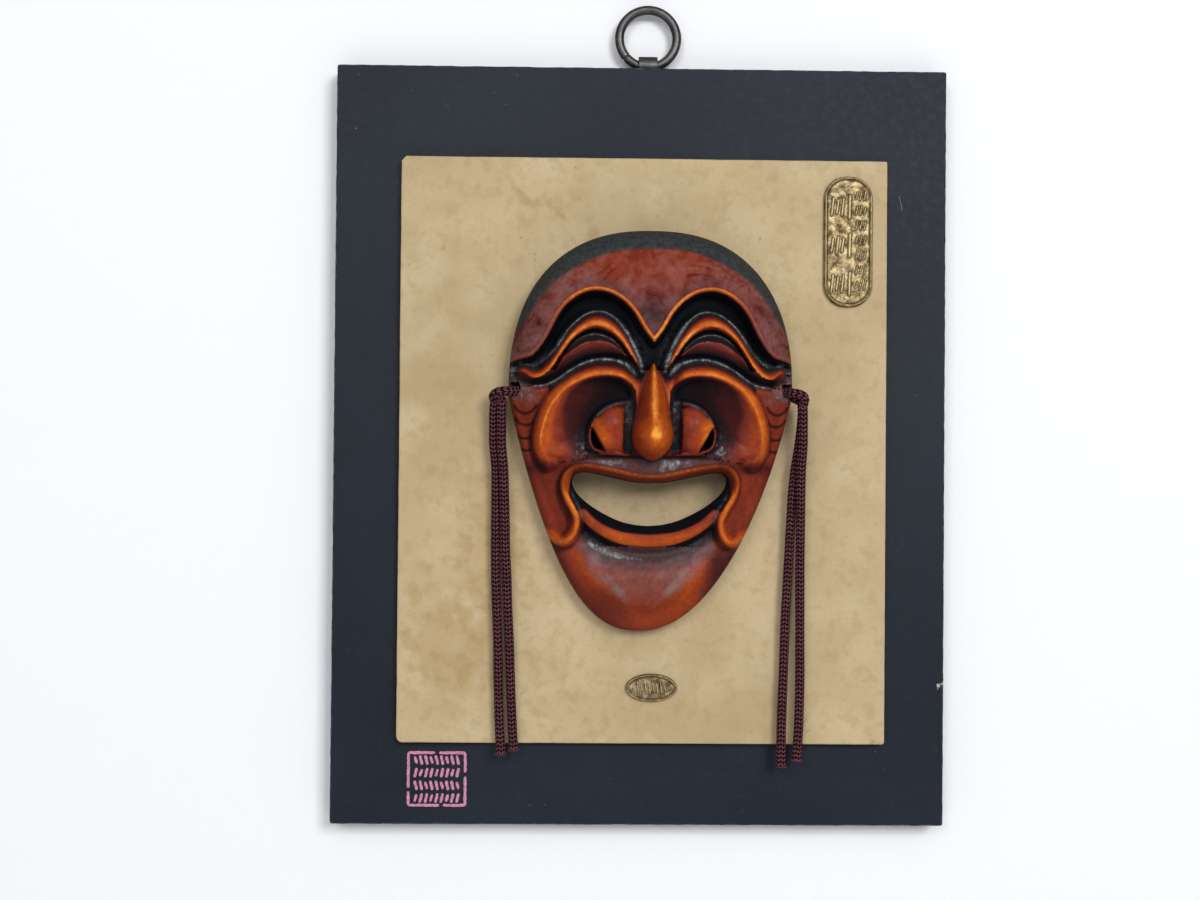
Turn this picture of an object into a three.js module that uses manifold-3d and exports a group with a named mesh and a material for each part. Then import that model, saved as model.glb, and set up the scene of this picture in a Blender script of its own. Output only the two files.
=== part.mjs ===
// A wall plaque: a hollow theatre mask on a parchment-coloured panel and a black board, with two brass
// plates, two doubled cords and a hanging ring. Millimetres, +Z up, and the front faces -Y.
// The plaque is drawn lying down, with x to the right, y up its height and z towards the viewer, and one
// group stands it up. The origin is the middle of the board's back, which lies on the wall.
import * as THREE from 'three';
import { mergeVertices } from 'three/addons/utils/BufferGeometryUtils.js';
import Module from 'manifold-3d';

const wasm = await Module();
wasm.setup();

// Driving dimensions
const gap = 0.3; // between pieces that touch
const board = { width: 202, height: 250, thickness: 10, corner: 0.8, bevel: 0.5 };
const panel = {
  x: 0.8, y: -1.7, width: 160, height: 192, thickness: 3.3, bevel: 0.5, corners: [2.2, 1, 0.8, 1.6],
};
const mask = { x: 2.85, y: 4.9, halfWidth: 46.2, top: 64.8, bottom: -65.4, widest: 11.4, rim: 3, face: 24 };
const outline = { upper: 2.375, lower: 1.103, side: 2.255 }; // exponents of the mask's outline
const jaw = { lean: -3.5, from: 21, length: 86, growth: 2.6 };
const wall = { edge: 4.5, hollow: 12.5 }; // the mask's rim width, and how deep it is hollowed
const mouth = { cut: 60, step: 4 };
const cordHole = { x: 43.3, y: 13.1, z: 9.5, radius: 2.3, length: 16, lean: 0.72 };
const cord = { diameter: 3.2, sides: 8, step: 7 };
const knot = { radius: [3.1, 3.1, 2.9], left: [-46.5, 17, 22.5], right: [51.9, 16.4, 23.2] };
const title = {
  x: 67.7, y: 67.4, width: 16.1, height: 43, corner: 7.4, thickness: 1.2, border: 1, relief: 0.6, segments: 3,
};
const name = { x: 4, y: -79.3, width: 16.8, height: 9.2, thickness: 1.1, border: 0.8, relief: 0.5, segments: 10 };
const ring = { radius: 9.6, wire: 1.5, drop: 0.25 };
const pivot = { x: 1.9, y: board.height / 2 + 2, z: 3.5 }; // the middle of the strap's eye
const strap = { width: 6.2, eye: 2.6, sheet: 0.6, neck: 4.4, length: 22 };
const pocket = { width: 8.2, height: 21, deepHeight: 2.6 };
const screw = { head: 2, headHeight: 1, shank: 0.9, length: 4.2, sides: 12, from: [10, 18] };

// Heights of the carving over the mask's plain dome, and the sizes of its forms
const carving = {
  brow: 1.6, recess: -6, besideEye: -2.6, lid: 0.3, groove: -4.4, cheek: 1, cheekByNose: -3.5, bowl: 6.6,
  chinBack: -3.4, lipBand: -0.2, lipEdge: 1.6, mouthRim: -7,
  edgeFade: 0.16, // the carving dies away towards the outline
};
const nose = { root: 21, tip: -2, rise: 13, ground: -4 };
const wing = { x: 9.4, y: -0.8, width: 10.8, height: 9, ground: -5, rise: 8.5, bottom: -8.2 };
const chin = { x: 2, y: -50, width: 20, height: 9, rise: 5 };

const boardFront = board.thickness;
const panelBack = boardFront + gap;
const panelFront = panelBack + panel.thickness;
const onPanel = panelFront + gap;

// Colour, roughness and metalness of each finish
const finishes = {
  lacquer: { color: 0x8c3a22, roughness: 0.4, metalness: 0 },
  blackPaint: { color: 0x2d3540, roughness: 0.55, metalness: 0 },
  parchment: { color: 0xcbb48f, roughness: 0.85, metalness: 0 },
  brass: { color: 0x8e7440, roughness: 0.4, metalness: 0.9 },
  gunmetal: { color: 0x3a3a3c, roughness: 0.35, metalness: 0.9 },
  braid: { color: 0x4b232d, roughness: 0.8, metalness: 0 },
};

const { smoothstep } = THREE.MathUtils;
const mix = THREE.MathUtils.lerp;

function softMax(a, b, blend) {
  const near = Math.max(blend - Math.abs(a - b), 0) / blend;
  return Math.max(a, b) + (near * near * blend) / 4;
}

const softMin = (a, b, blend) => -softMax(-a, -b, blend);
const bump = (x) => Math.exp(-x * x);

// Solids, and their joins and cuts
function solid(geometry) {
  geometry.deleteAttribute('normal');
  geometry.deleteAttribute('uv');
  const merged = mergeVertices(geometry, 1e-4);
  const vertProperties = new Float32Array(merged.attributes.position.array);
  const triVerts = new Uint32Array(merged.index.array);
  return new wasm.Manifold(new wasm.Mesh({ numProp: 3, vertProperties, triVerts }));
}

function toGeometry(body) {
  const mesh = body.getMesh();
  const geometry = new THREE.BufferGeometry();
  geometry.setAttribute('position', new THREE.BufferAttribute(new Float32Array(mesh.vertProperties), 3));
  geometry.setIndex([...mesh.triVerts]);
  return geometry;
}

function box(low, high) {
  const size = high.map((value, axis) => value - low[axis]);
  const middle = high.map((value, axis) => (value + low[axis]) / 2);
  return solid(new THREE.BoxGeometry(...size).translate(...middle));
}

const plaque = new THREE.Group();
plaque.rotation.x = Math.PI / 2;

function add(nodeName, geometry, finish, position = [0, 0, 0]) {
  const mesh = new THREE.Mesh(geometry, new THREE.MeshStandardMaterial(finish));
  mesh.name = nodeName;
  mesh.position.set(...position);
  plaque.add(mesh);
}

// A rectangle whose corners are cut or rounded, each by its own amount, from bottom left anticlockwise
function cornered(width, height, corners) {
  const [x, y] = [width / 2, height / 2];
  const [bottomLeft, bottomRight, topRight, topLeft] = corners;
  const shape = new THREE.Shape();
  shape.moveTo(-x + bottomLeft, -y);
  shape.lineTo(x - bottomRight, -y);
  shape.quadraticCurveTo(x, -y, x, -y + bottomRight);
  shape.lineTo(x, y - topRight);
  shape.quadraticCurveTo(x, y, x - topRight, y);
  shape.lineTo(-x + topLeft, y);
  shape.lineTo(-x, y - topLeft);
  shape.lineTo(-x, -y + bottomLeft);
  shape.quadraticCurveTo(-x, -y, -x + bottomLeft, -y);
  return shape;
}

// A rectangle with four round corners
function rounded(width, height, radius) {
  const [x, y] = [width / 2 - radius, height / 2 - radius];
  const shape = new THREE.Shape();
  shape.absarc(x, y, radius, 0, Math.PI / 2);
  shape.absarc(-x, y, radius, Math.PI / 2, Math.PI);
  shape.absarc(-x, -y, radius, Math.PI, 1.5 * Math.PI);
  shape.absarc(x, -y, radius, 1.5 * Math.PI, 2 * Math.PI);
  return shape;
}

// A flat sheet with both its edges bevelled, from z = 0 to its thickness
function slab(shape, thickness, bevel, curveSegments = 2) {
  const bevels = { bevelSize: bevel, bevelThickness: bevel, bevelOffset: -bevel, bevelSegments: 1 };
  const depth = thickness - 2 * bevel;
  return new THREE.ExtrudeGeometry(shape, { depth, curveSegments, ...bevels }).translate(0, 0, bevel);
}

// The board, with the pocket in its back that takes the strap, deeper at its top for the strap's eye
function backingBoard() {
  const corners = Array(4).fill(board.corner);
  let body = solid(slab(cornered(board.width, board.height, corners), board.thickness, board.bevel));
  const top = board.height / 2;
  const [left, right] = [pivot.x - pocket.width / 2, pivot.x + pocket.width / 2];
  const eyeOut = strap.eye + strap.sheet;
  const floor = pivot.z + strap.sheet + gap;
  body = body.subtract(box([left, top - pocket.height, -1], [right, top + 1, floor]));
  body = body.subtract(box([left, top - pocket.deepHeight, -1], [right, top + 1, pivot.z + eyeOut + gap]));
  for (const down of screw.from) {
    const drill = new THREE.CylinderGeometry(screw.shank + gap, screw.shank + gap, 9, screw.sides);
    body = body.subtract(solid(drill.rotateX(Math.PI / 2).translate(pivot.x, pivot.y - down, 4)));
  }
  return toGeometry(body);
}

// The folded strap: an eye round the ring's wire, and two legs that lie together
function hangerStrap() {
  const out = strap.eye + strap.sheet;
  const neckAngle = THREE.MathUtils.degToRad(50);
  const side = new THREE.Shape();
  side.moveTo(-strap.sheet, -strap.length);
  side.lineTo(strap.sheet, -strap.length);
  side.lineTo(strap.sheet, -strap.neck);
  side.absarc(0, 0, out, -neckAngle, Math.PI + neckAngle, false);
  side.lineTo(-strap.sheet, -strap.neck);
  const eye = new THREE.Path();
  eye.absarc(0, 0, strap.eye, 0, 2 * Math.PI, true);
  side.holes.push(eye);
  const options = { depth: strap.width, bevelEnabled: false, curveSegments: 10 };
  const bent = new THREE.ExtrudeGeometry(side, options);
  let body = solid(bent.translate(0, 0, -strap.width / 2).rotateY(-Math.PI / 2));
  for (const down of screw.from) {
    const drill = new THREE.CylinderGeometry(screw.shank + gap, screw.shank + gap, 4, screw.sides);
    body = body.subtract(solid(drill.rotateX(Math.PI / 2).translate(0, -down, 0)));
  }
  return toGeometry(body);
}

// A round-headed screw along z, its head's flat underside at z = 0
function hangerScrew() {
  const profile = [
    [0, screw.length], [screw.shank * 0.4, screw.length], [screw.shank, screw.length - 0.8],
    [screw.shank, 0], [screw.head, 0], [screw.head * 0.8, -screw.headHeight * 0.75], [0, -screw.headHeight],
  ];
  const points = profile.map(([x, y]) => new THREE.Vector2(x, y)).reverse();
  return new THREE.LatheGeometry(points, screw.sides).rotateX(Math.PI / 2);
}

function oval(width, height) {
  const shape = new THREE.Shape();
  shape.absellipse(0, 0, width / 2, height / 2, 0, 2 * Math.PI);
  return shape;
}

// A brass plate with a raised border and raised strokes: an oval, unless its size has a corner
function plate(size, strokes) {
  const inwards = (inset) => {
    const [width, height] = [size.width - 2 * inset, size.height - 2 * inset];
    return size.corner ? rounded(width, height, size.corner - inset) : oval(width, height);
  };
  const options = { bevelEnabled: false, curveSegments: size.segments };
  const border = inwards(0.15);
  border.holes.push(inwards(size.border));
  let body = solid(new THREE.ExtrudeGeometry(inwards(0), { ...options, depth: size.thickness }));
  const raised = new THREE.ExtrudeGeometry(border, { ...options, depth: size.relief + 0.1 });
  body = body.add(solid(raised.translate(0, 0, size.thickness - 0.1)));
  for (const [x, y, width, height] of strokes) {
    const low = [x - width / 2, y - height / 2, size.thickness - 0.1];
    body = body.add(box(low, [x + width / 2, y + height / 2, size.thickness + size.relief * 0.8]));
  }
  return toGeometry(body);
}

// Rows of plain upright bars that stand apart and spell nothing
function titleStrokes() {
  const strokes = [];
  for (let row = 0; row < 3; row += 1) {
    const y = 12.2 - 12.2 * row;
    for (let bar = 0; bar < 3; bar += 1) strokes.push([-5.2 + 1.75 * bar, y, 0.8, (bar + row) % 2 ? 4.4 : 5.4]);
    strokes.push([0.4, y, 0.9, 7]);
  }
  for (let row = 0; row < 6; row += 1) {
    const y = 13.5 - 5.4 * row;
    for (const bar of [0, 1]) strokes.push([3 + 1.9 * bar, y, 0.7, (bar + row) % 2 ? 2 : 2.8]);
  }
  return strokes;
}

function nameStrokes() {
  return [-4, -2, 0, 2, 4].map((x, i) => [x, 0, 0.7, i % 2 ? 1.8 : 3.2]);
}

// The mask's outline: its half width at height y
function halfWidth(y) {
  const up = Math.min((y - mask.widest) / (mask.top - mask.widest), 1);
  if (up >= 0) return mask.halfWidth * (1 - up ** outline.upper) ** (1 / outline.upper);
  const down = Math.min((mask.widest - y) / (mask.widest - mask.bottom), 1);
  return mask.halfWidth * (1 - down ** outline.lower) ** (1 / outline.side);
}

// 0 in the middle of the widest row and 1 on the outline
function towardsEdge(x, y) {
  const side = Math.abs(x) / mask.halfWidth;
  const up = (y - mask.widest) / (mask.top - mask.widest);
  if (up >= 0) return Math.min(side ** outline.upper + up ** outline.upper, 1);
  const down = (mask.widest - y) / (mask.widest - mask.bottom);
  return Math.min(side ** outline.side + down ** outline.lower, 1);
}

// The jaw leans a little to one side
const lean = (y) => jaw.lean * Math.max((jaw.from - y) / jaw.length, 0) ** jaw.growth;

// The carving's lines, on one half of the face: [distance from the middle, height]
const line = (points) => new THREE.SplineCurve(points.map(([x, y]) => new THREE.Vector2(x, y)))
  .getPoints(points.length * 8);
const browEdge = line([
  [0, 27.2], [6, 36.3], [9.2, 39.9], [12.9, 42.4], [18.4, 43.7], [23.9, 42.1], [30.2, 35.9], [34.7, 27.5],
  [40.1, 22.6], [50, 21],
]);
const lidRidge = line([
  [4.9, 19.3], [9.7, 27.4], [16, 32.5], [22.7, 31.4], [28.4, 25], [33, 18.1], [38.2, 16], [41, 18],
]);
const lidGroove = line([
  [4.9, 16.9], [7.7, 19.7], [11.3, 21.5], [18.8, 21.7], [26.4, 18.3], [33.7, 14], [42, 12.5],
]);
const cheekRim = line([
  [6, -4], [5.6, 3], [5.5, 10], [9.4, 15.9], [16.3, 16.8], [23.9, 14.9], [30, 10.3], [33.8, 3.6],
  [35.4, -3.9], [33.2, -10], [31, -10.9],
]);
const noseSide = line([
  [0, 21.1], [3.2, 15.4], [5.1, 7.7], [6.5, 0.5], [6.2, -5.1], [2.4, -9.6], [0, -10.3],
]);
const lipEdge = line([
  [0, -16.2], [9.8, -14.7], [20.5, -12.8], [24.1, -13.2], [27.1, -18.8], [24.4, -25.4], [23, -30.9],
  [26.2, -36.1], [30.6, -35], [36, -33],
]);
const lipBand = line([[0, -35.6], [7.2, -35], [13, -33.1], [17.6, -30.3], [20.9, -27.1]]);
const mouthLine = line([
  [0, -17.4], [9.8, -16.2], [19.1, -14.2], [24.3, -15.1], [24.8, -17.6], [19.7, -23.9], [15.3, -26.7],
  [9.6, -29.4], [0, -31.1],
]);

function distance(points, x, y) {
  let best = Infinity;
  for (let i = 1; i < points.length; i += 1) {
    const [a, b] = [points[i - 1], points[i]];
    const [dx, dy] = [b.x - a.x, b.y - a.y];
    const t = THREE.MathUtils.clamp(((x - a.x) * dx + (y - a.y) * dy) / (dx * dx + dy * dy), 0, 1);
    best = Math.min(best, Math.hypot(x - a.x - t * dx, y - a.y - t * dy));
  }
  return best;
}

// Is the point inside the region that a line and a few more corners close?
function within(points, closing, x, y) {
  const all = [...points, ...closing.map(([cx, cy]) => new THREE.Vector2(cx, cy))];
  let odd = false;
  for (let i = 0, j = all.length - 1; i < all.length; j = i, i += 1) {
    const [a, b] = [all[i], all[j]];
    if (a.y > y !== b.y > y && x < ((b.x - a.x) * (y - a.y)) / (b.y - a.y) + a.x) odd = !odd;
  }
  return odd;
}

// Below the brow edge is positive
function belowBrow(x, y) {
  const far = distance(browEdge, x, y);
  return within(browEdge, [[50, 80], [-1, 80], [-1, 27.2]], x, y) ? -far : far;
}

// The nose's half width at height y
function noseHalf(y) {
  const next = noseSide.findIndex((point) => point.y < y);
  if (next < 1) return 0;
  const [a, b] = [noseSide[next - 1], noseSide[next]];
  return mix(b.x, a.x, (y - b.y) / (a.y - b.y));
}

// The height of the mask's front over its base
function front(x, y) {
  const side = Math.abs(x);
  const dome = mask.rim + (mask.face - mask.rim) * (1 - towardsEdge(x, y)) ** 0.4;
  const below = belowBrow(side, y);
  const recess = mix(carving.recess, carving.besideEye, smoothstep(below, 2.5, 8));
  let carved = mix(carving.brow, recess, smoothstep(below, -0.7, 2));

  // The raised lid over the eye, and the groove below the lid
  carved = softMax(carved, carving.lid - 0.5 * distance(lidRidge, side, y) ** 2, 0.8);
  carved = softMin(carved, carving.groove + 0.9 * distance(lidGroove, side, y) ** 2, 0.8);

  // The cheek: a raised rim round a bowl that deepens towards the nose
  const fromRim = distance(cheekRim, side, y);
  const rimTop = mix(carving.cheekByNose, carving.cheek, smoothstep(side, 5, 10));
  if (within(cheekRim, [[21, -9.5]], side, y)) {
    const slope = mix(1.6, 8, smoothstep(side, 6, 34));
    carved = rimTop - carving.bowl * (1 - Math.exp(-fromRim / slope));
  } else if (below > 0) {
    carved = softMax(carved, rimTop - 0.45 * fromRim ** 2, 0.8);
  }

  // The wings of the nose, and the nose with its ridge and round tip
  const inWing = 1 - ((side - wing.x) / wing.width) ** 2 - ((y - wing.y) / wing.height) ** 2;
  if (inWing > 0) {
    const foot = smoothstep(y, wing.bottom - 0.8, wing.bottom + 1);
    carved = softMax(carved, wing.ground + wing.rise * Math.sqrt(inWing) * foot, 0.8);
  }
  const off = side / noseHalf(y);
  if (off < 1) {
    const rise = nose.rise * THREE.MathUtils.clamp((nose.root - y) / (nose.root - nose.tip), 0, 1);
    const section = mix(1 - off ** 1.35, Math.sqrt(1 - off * off), smoothstep(-y, -5, 3));
    carved = softMax(carved, nose.ground + (rise - nose.ground) * section, 0.6);
  }

  // The chin stands back behind the cheeks' flaps, with a bead along their edge and the lower lip's band
  const fromLip = distance(lipEdge, side, y);
  if (within(lipEdge, [[50, -33], [50, -80], [-1, -80], [-1, -16.2]], side, y)) {
    carved = mix(carved, carving.chinBack, smoothstep(fromLip, 0, 1.6));
    carved += chin.rise * bump(Math.hypot((side - chin.x) / chin.width, (y - chin.y) / chin.height));
    carved = softMax(carved, carving.lipBand - 0.32 * distance(lipBand, side, y) ** 2, 0.8);
  }
  carved = softMax(carved, carving.lipEdge - 0.6 * fromLip ** 2, 0.8);
  carved = softMin(carved, carving.mouthRim + 3 * distance(mouthLine, side, y), 0.6);
  return dome + carved * smoothstep(1 - towardsEdge(x, y), 0, carving.edgeFade);
}

// The front averaged over a small square, so that a coarse grid follows narrow beads and steps evenly
function evenFront(x, y) {
  let sum = 0;
  for (const dx of [-0.7, 0, 0.7]) for (const dy of [-0.7, 0, 0.7]) sum += front(x + dx, y + dy);
  return sum / 9;
}

// A closed body over the mask's outline: a grid that fits the outline on top, an upright edge, a flat base
function domed(columns, rows, inset, base, height) {
  const [across, up] = [1 - inset / mask.halfWidth, 1 - inset / mask.top];
  const positions = [];
  const index = [];
  const at = (column, row) => row * (columns + 1) + column;
  for (let row = 0; row <= rows; row += 1) {
    for (let column = 0; column <= columns; column += 1) {
      const [p, q] = [(2 * column) / columns - 1, (2 * row) / rows - 1];
      const [diskX, diskY] = [p * Math.sqrt(1 - (q * q) / 2), q * Math.sqrt(1 - (p * p) / 2)];
      const y = mix(mask.bottom, mask.top, (diskY + 1) / 2);
      const wide = Math.sqrt(Math.max(1 - diskY * diskY, 1e-4));
      const x = (diskX / wide) * halfWidth(THREE.MathUtils.clamp(y, mask.bottom + 0.01, mask.top - 0.01));
      positions.push(x * across, y * up, height(x, y));
    }
  }
  for (let row = 0; row < rows; row += 1) {
    for (let column = 0; column < columns; column += 1) {
      const [a, b] = [at(column, row), at(column + 1, row)];
      const [c, d] = [at(column + 1, row + 1), at(column, row + 1)];
      if ((column < columns / 2) === (row < rows / 2)) index.push(a, b, c, a, c, d);
      else index.push(a, b, d, b, c, d);
    }
  }
  const edge = [];
  for (let column = 0; column < columns; column += 1) edge.push(at(column, 0));
  for (let row = 0; row < rows; row += 1) edge.push(at(columns, row));
  for (let column = columns; column > 0; column -= 1) edge.push(at(column, rows));
  for (let row = rows; row > 0; row -= 1) edge.push(at(0, row));
  const first = positions.length / 3;
  for (const vertex of edge) positions.push(positions[3 * vertex], positions[3 * vertex + 1], base);
  positions.push(0, mask.y, base);
  edge.forEach((vertex, i) => {
    const next = (i + 1) % edge.length;
    index.push(first + i, first + next, vertex, first + next, edge[next], vertex);
    index.push(first + edge.length, first + next, first + i);
  });
  const geometry = new THREE.BufferGeometry();
  geometry.setAttribute('position', new THREE.Float32BufferAttribute(positions, 3));
  geometry.setIndex(index);
  return solid(geometry);
}

function theatreMask() {
  let body = domed(38, 54, 0, 0, evenFront);
  const hollow = (x, y) => 1 + (wall.hollow - 1) * (1 - towardsEdge(x, y)) ** 0.45;
  body = body.subtract(domed(14, 20, wall.edge, -1, hollow));
  const half = mouthLine.filter((_, i) => i % mouth.step === 0);
  const otherHalf = half.slice(1, -1).reverse().map(({ x, y }) => new THREE.Vector2(-x, y));
  const opening = new THREE.Shape([...half, ...otherHalf]);
  const cut = new THREE.ExtrudeGeometry(opening, { depth: mouth.cut, bevelEnabled: false });
  body = body.subtract(solid(cut.translate(0, 0, -1)));
  for (const side of [-1, 1]) {
    const drill = new THREE.CylinderGeometry(cordHole.radius, cordHole.radius, cordHole.length, 12);
    drill.rotateZ(Math.PI / 2).rotateY(-side * cordHole.lean);
    body = body.subtract(solid(drill.translate(side * cordHole.x, cordHole.y, cordHole.z)));
  }
  const geometry = toGeometry(body);
  const { position } = geometry.attributes;
  for (let i = 0; i < position.count; i += 1) position.setX(i, position.getX(i) + lean(position.getY(i)));
  return geometry;
}

// A strand of cord along a smooth curve through the points
function strand(points, step = cord.step) {
  const path = new THREE.CatmullRomCurve3(points.map((point) => new THREE.Vector3(...point)));
  const section = new THREE.Shape();
  for (let side = 0; side < cord.sides; side += 1) {
    const angle = (2 * Math.PI * side) / cord.sides;
    const [x, y] = [Math.cos(angle) * cord.diameter / 2, Math.sin(angle) * cord.diameter / 2];
    if (side === 0) section.moveTo(x, y);
    else section.lineTo(x, y);
  }
  const steps = Math.max(Math.round(path.getLength() / step), 3);
  return new THREE.ExtrudeGeometry(section, { steps, bevelEnabled: false, extrudePath: path });
}

// The loop that comes out of the mask's cord hole, and the knot that both strands hang from
function cordKnot(side, middle) {
  const hole = [mask.x + lean(cordHole.y) + side * cordHole.x, mask.y + cordHole.y, onPanel + cordHole.z];
  const inward = [-side * Math.cos(cordHole.lean), 0, -Math.sin(cordHole.lean)];
  const along = (far) => hole.map((value, axis) => value + inward[axis] * far);
  const bend = middle.map((value, axis) => mix(along(-3)[axis], value, 2 / 3));
  const loop = strand([along(6), along(3), hole, along(-2), bend, middle], 2);
  const ball = new THREE.SphereGeometry(1, 12, 8).scale(...knot.radius).translate(...middle);
  return toGeometry(solid(loop).add(solid(ball)));
}

// Each strand from just under its knot to its cut end
const strands = {
  cord_left_outer: [
    [-47.6, 13.6, 21.2], [-47.9, 10, 20.4], [-47.9, 5, 19.4], [-47.9, 0, 18.7], [-47.2, -8, 17.9],
    [-47.1, -17, 17.4], [-47.1, -26, 17.1], [-47.1, -35, 16.9], [-46.9, -45, 16.8], [-46.5, -55, 16.8],
    [-46.1, -65, 16.8], [-45.9, -75, 16.7], [-45.6, -84, 16.7], [-45.3, -92, 16.7], [-44.8, -101, 16.7],
  ],
  cord_left_inner: [
    [-45.2, 13.6, 23.8], [-45.3, 10, 23.1], [-45.3, 5, 22.1], [-45.3, 0, 21.4], [-44.6, -8, 20.4],
    [-44.3, -17, 19.6], [-44, -26, 18.8], [-43.8, -35, 18.2], [-43.3, -45, 17.7], [-42.9, -55, 17.4],
    [-42.4, -65, 17.2], [-42, -75, 17.1], [-41.6, -84, 17], [-41.2, -92, 16.9], [-40.7, -99.5, 16.9],
  ],
  cord_right_inner: [
    [51.9, 13, 21.4], [52, 10, 20.7], [51.7, 5, 19.8], [51.2, 0, 19.2], [50.1, -8, 18.5],
    [49.3, -17, 18], [48.9, -26, 17.6], [48.5, -35, 17.3], [48, -45, 17.1], [47.5, -55, 17],
    [47.2, -65, 16.9], [46.9, -75, 16.9], [46.6, -84, 16.8], [46.4, -92, 16.8], [46.3, -104.5, 16.8],
  ],
  cord_right_outer: [
    [51.6, 13, 25], [51.8, 10, 24.5], [51.9, 5, 23.7], [52, 0, 22.9], [51.7, -8, 21.7],
    [51.7, -17, 20.6], [51.8, -26, 19.6], [51.9, -35, 18.6], [52, -45, 18], [52.1, -55, 17.6],
    [52.2, -65, 17.3], [52.3, -75, 17.1], [52.2, -84, 17], [52, -92, 16.9], [51.3, -102.5, 16.9],
  ],
};

add('backing_board', backingBoard(), finishes.blackPaint);
const panelOutline = cornered(panel.width, panel.height, panel.corners);
add('backing_panel', slab(panelOutline, panel.thickness, panel.bevel), finishes.parchment,
  [panel.x, panel.y, panelBack]);
add('theatre_mask', theatreMask(), finishes.lacquer, [mask.x, mask.y, onPanel]);
add('title_plate', plate(title, titleStrokes()), finishes.brass, [title.x, title.y, onPanel]);
add('name_plate', plate(name, nameStrokes()), finishes.brass, [name.x, name.y, onPanel]);
add('hanger_strap', hangerStrap(), finishes.gunmetal, [pivot.x, pivot.y, pivot.z]);
for (const [i, nodeName] of ['hanger_screw_upper', 'hanger_screw_lower'].entries()) {
  const place = [pivot.x, pivot.y - screw.from[i], pivot.z - strap.sheet - gap];
  add(nodeName, hangerScrew(), finishes.gunmetal, place);
}
add('hanging_ring', new THREE.TorusGeometry(ring.radius, ring.wire, 8, 24), finishes.gunmetal,
  [pivot.x, pivot.y - ring.drop + ring.radius, pivot.z]);
add('cord_knot_left', cordKnot(-1, knot.left), finishes.braid);
add('cord_knot_right', cordKnot(1, knot.right), finishes.braid);
for (const [nodeName, points] of Object.entries(strands)) add(nodeName, strand(points), finishes.braid);

const group = new THREE.Group();
group.add(plaque);

export default group;
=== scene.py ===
import math

import bmesh
import bpy
import numpy as np
from mathutils import Matrix, Vector


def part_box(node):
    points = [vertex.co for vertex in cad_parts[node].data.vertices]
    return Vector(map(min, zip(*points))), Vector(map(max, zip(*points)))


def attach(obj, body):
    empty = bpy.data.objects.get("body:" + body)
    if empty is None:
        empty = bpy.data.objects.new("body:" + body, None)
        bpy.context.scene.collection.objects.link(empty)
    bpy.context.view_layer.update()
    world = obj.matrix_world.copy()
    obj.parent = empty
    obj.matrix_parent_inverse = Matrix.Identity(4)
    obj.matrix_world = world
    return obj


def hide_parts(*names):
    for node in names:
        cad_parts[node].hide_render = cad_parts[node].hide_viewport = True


# A wall plaque: a hollow theatre mask with cords on a parchment panel and a black board, hung by a ring.
# The visible pieces are built round the fixed frame. Metres, +Z up, and the plaque faces -Y. Its flat pieces
# are worked out lying down in millimetres (x right, y up, z towards the viewer), and standUp turns them.

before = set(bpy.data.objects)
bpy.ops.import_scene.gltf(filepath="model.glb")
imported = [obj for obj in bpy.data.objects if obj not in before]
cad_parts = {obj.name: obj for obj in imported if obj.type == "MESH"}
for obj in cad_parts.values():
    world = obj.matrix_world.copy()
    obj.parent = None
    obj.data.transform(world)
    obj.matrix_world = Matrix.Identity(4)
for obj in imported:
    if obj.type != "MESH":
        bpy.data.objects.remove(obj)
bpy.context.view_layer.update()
scene = bpy.context.scene
scene.view_settings.view_transform = "Standard"
mm = 0.001


def standUp(points):
    points = np.asarray(points, float)
    return np.stack([points[..., 0], -points[..., 2], points[..., 1]], -1) * mm


def boxOf(nodeName):
    # lowest and highest corner of a node, lying down, in millimetres
    low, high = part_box(nodeName)
    return np.array([low.x, low.z, -high.y]) / mm, np.array([high.x, high.z, -low.y]) / mm


def smooth(value, low, high):
    t = np.clip((np.asarray(value, float) - low) / (high - low), 0, 1)
    return t * t * (3 - 2 * t)


def mix(a, b, t):
    return a + (b - a) * t


# Camera, at the photograph's place

camera = {"lens": 50, "place": (-0.0248, -0.5596, -0.0095), "right": (0.99974, -0.02112, 0.00809),
          "up": (-0.00838, -0.01408, 0.99987), "forward": (0.021, 0.99968, 0.01426)}


def makeCamera():
    data = bpy.data.cameras.new("camera")
    data.lens, data.sensor_width = camera["lens"], 36
    data.clip_start, data.clip_end = 0.02, 20
    made = bpy.data.objects.new("camera", data)
    axes = [Vector(camera["right"]), Vector(camera["up"]), -Vector(camera["forward"])]
    turn = Matrix([axis.normalized() for axis in axes]).transposed()
    made.matrix_world = Matrix.Translation(camera["place"]) @ turn.to_4x4()
    scene.collection.objects.link(made)
    scene.camera = made


makeCamera()
print("camera placed")


# Node materials: a short way to write their nodes

def node(tree, kind, inputs=None, **settings):
    made = tree.nodes.new("ShaderNode" + kind)
    for key, value in settings.items():
        setattr(made, key, value)
    for key, value in (inputs or {}).items():
        if isinstance(value, bpy.types.NodeSocket):
            tree.links.new(value, made.inputs[key])
        else:
            made.inputs[key].default_value = value
    return made


def newMaterial(name, **shaderInputs):
    material = bpy.data.materials.new(name)
    material.use_nodes = True
    tree = material.node_tree
    tree.nodes.clear()
    shader = node(tree, "BsdfPrincipled")
    for key, value in shaderInputs.items():
        shader.inputs[key.replace("_", " ")].default_value = value
    output = node(tree, "OutputMaterial")
    tree.links.new(shader.outputs[0], output.inputs[0])
    return material, tree, shader


def noise(tree, scale, detail=3, roughness=0.6, stretch=(1, 1, 1)):
    place = node(tree, "TexCoord").outputs["Object"]
    if stretch != (1, 1, 1):
        place = node(tree, "Mapping", {"Vector": place, "Scale": stretch}).outputs[0]
    made = node(tree, "TexNoise", {"Vector": place, "Scale": scale, "Detail": detail, "Roughness": roughness})
    return made.outputs[0]


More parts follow.
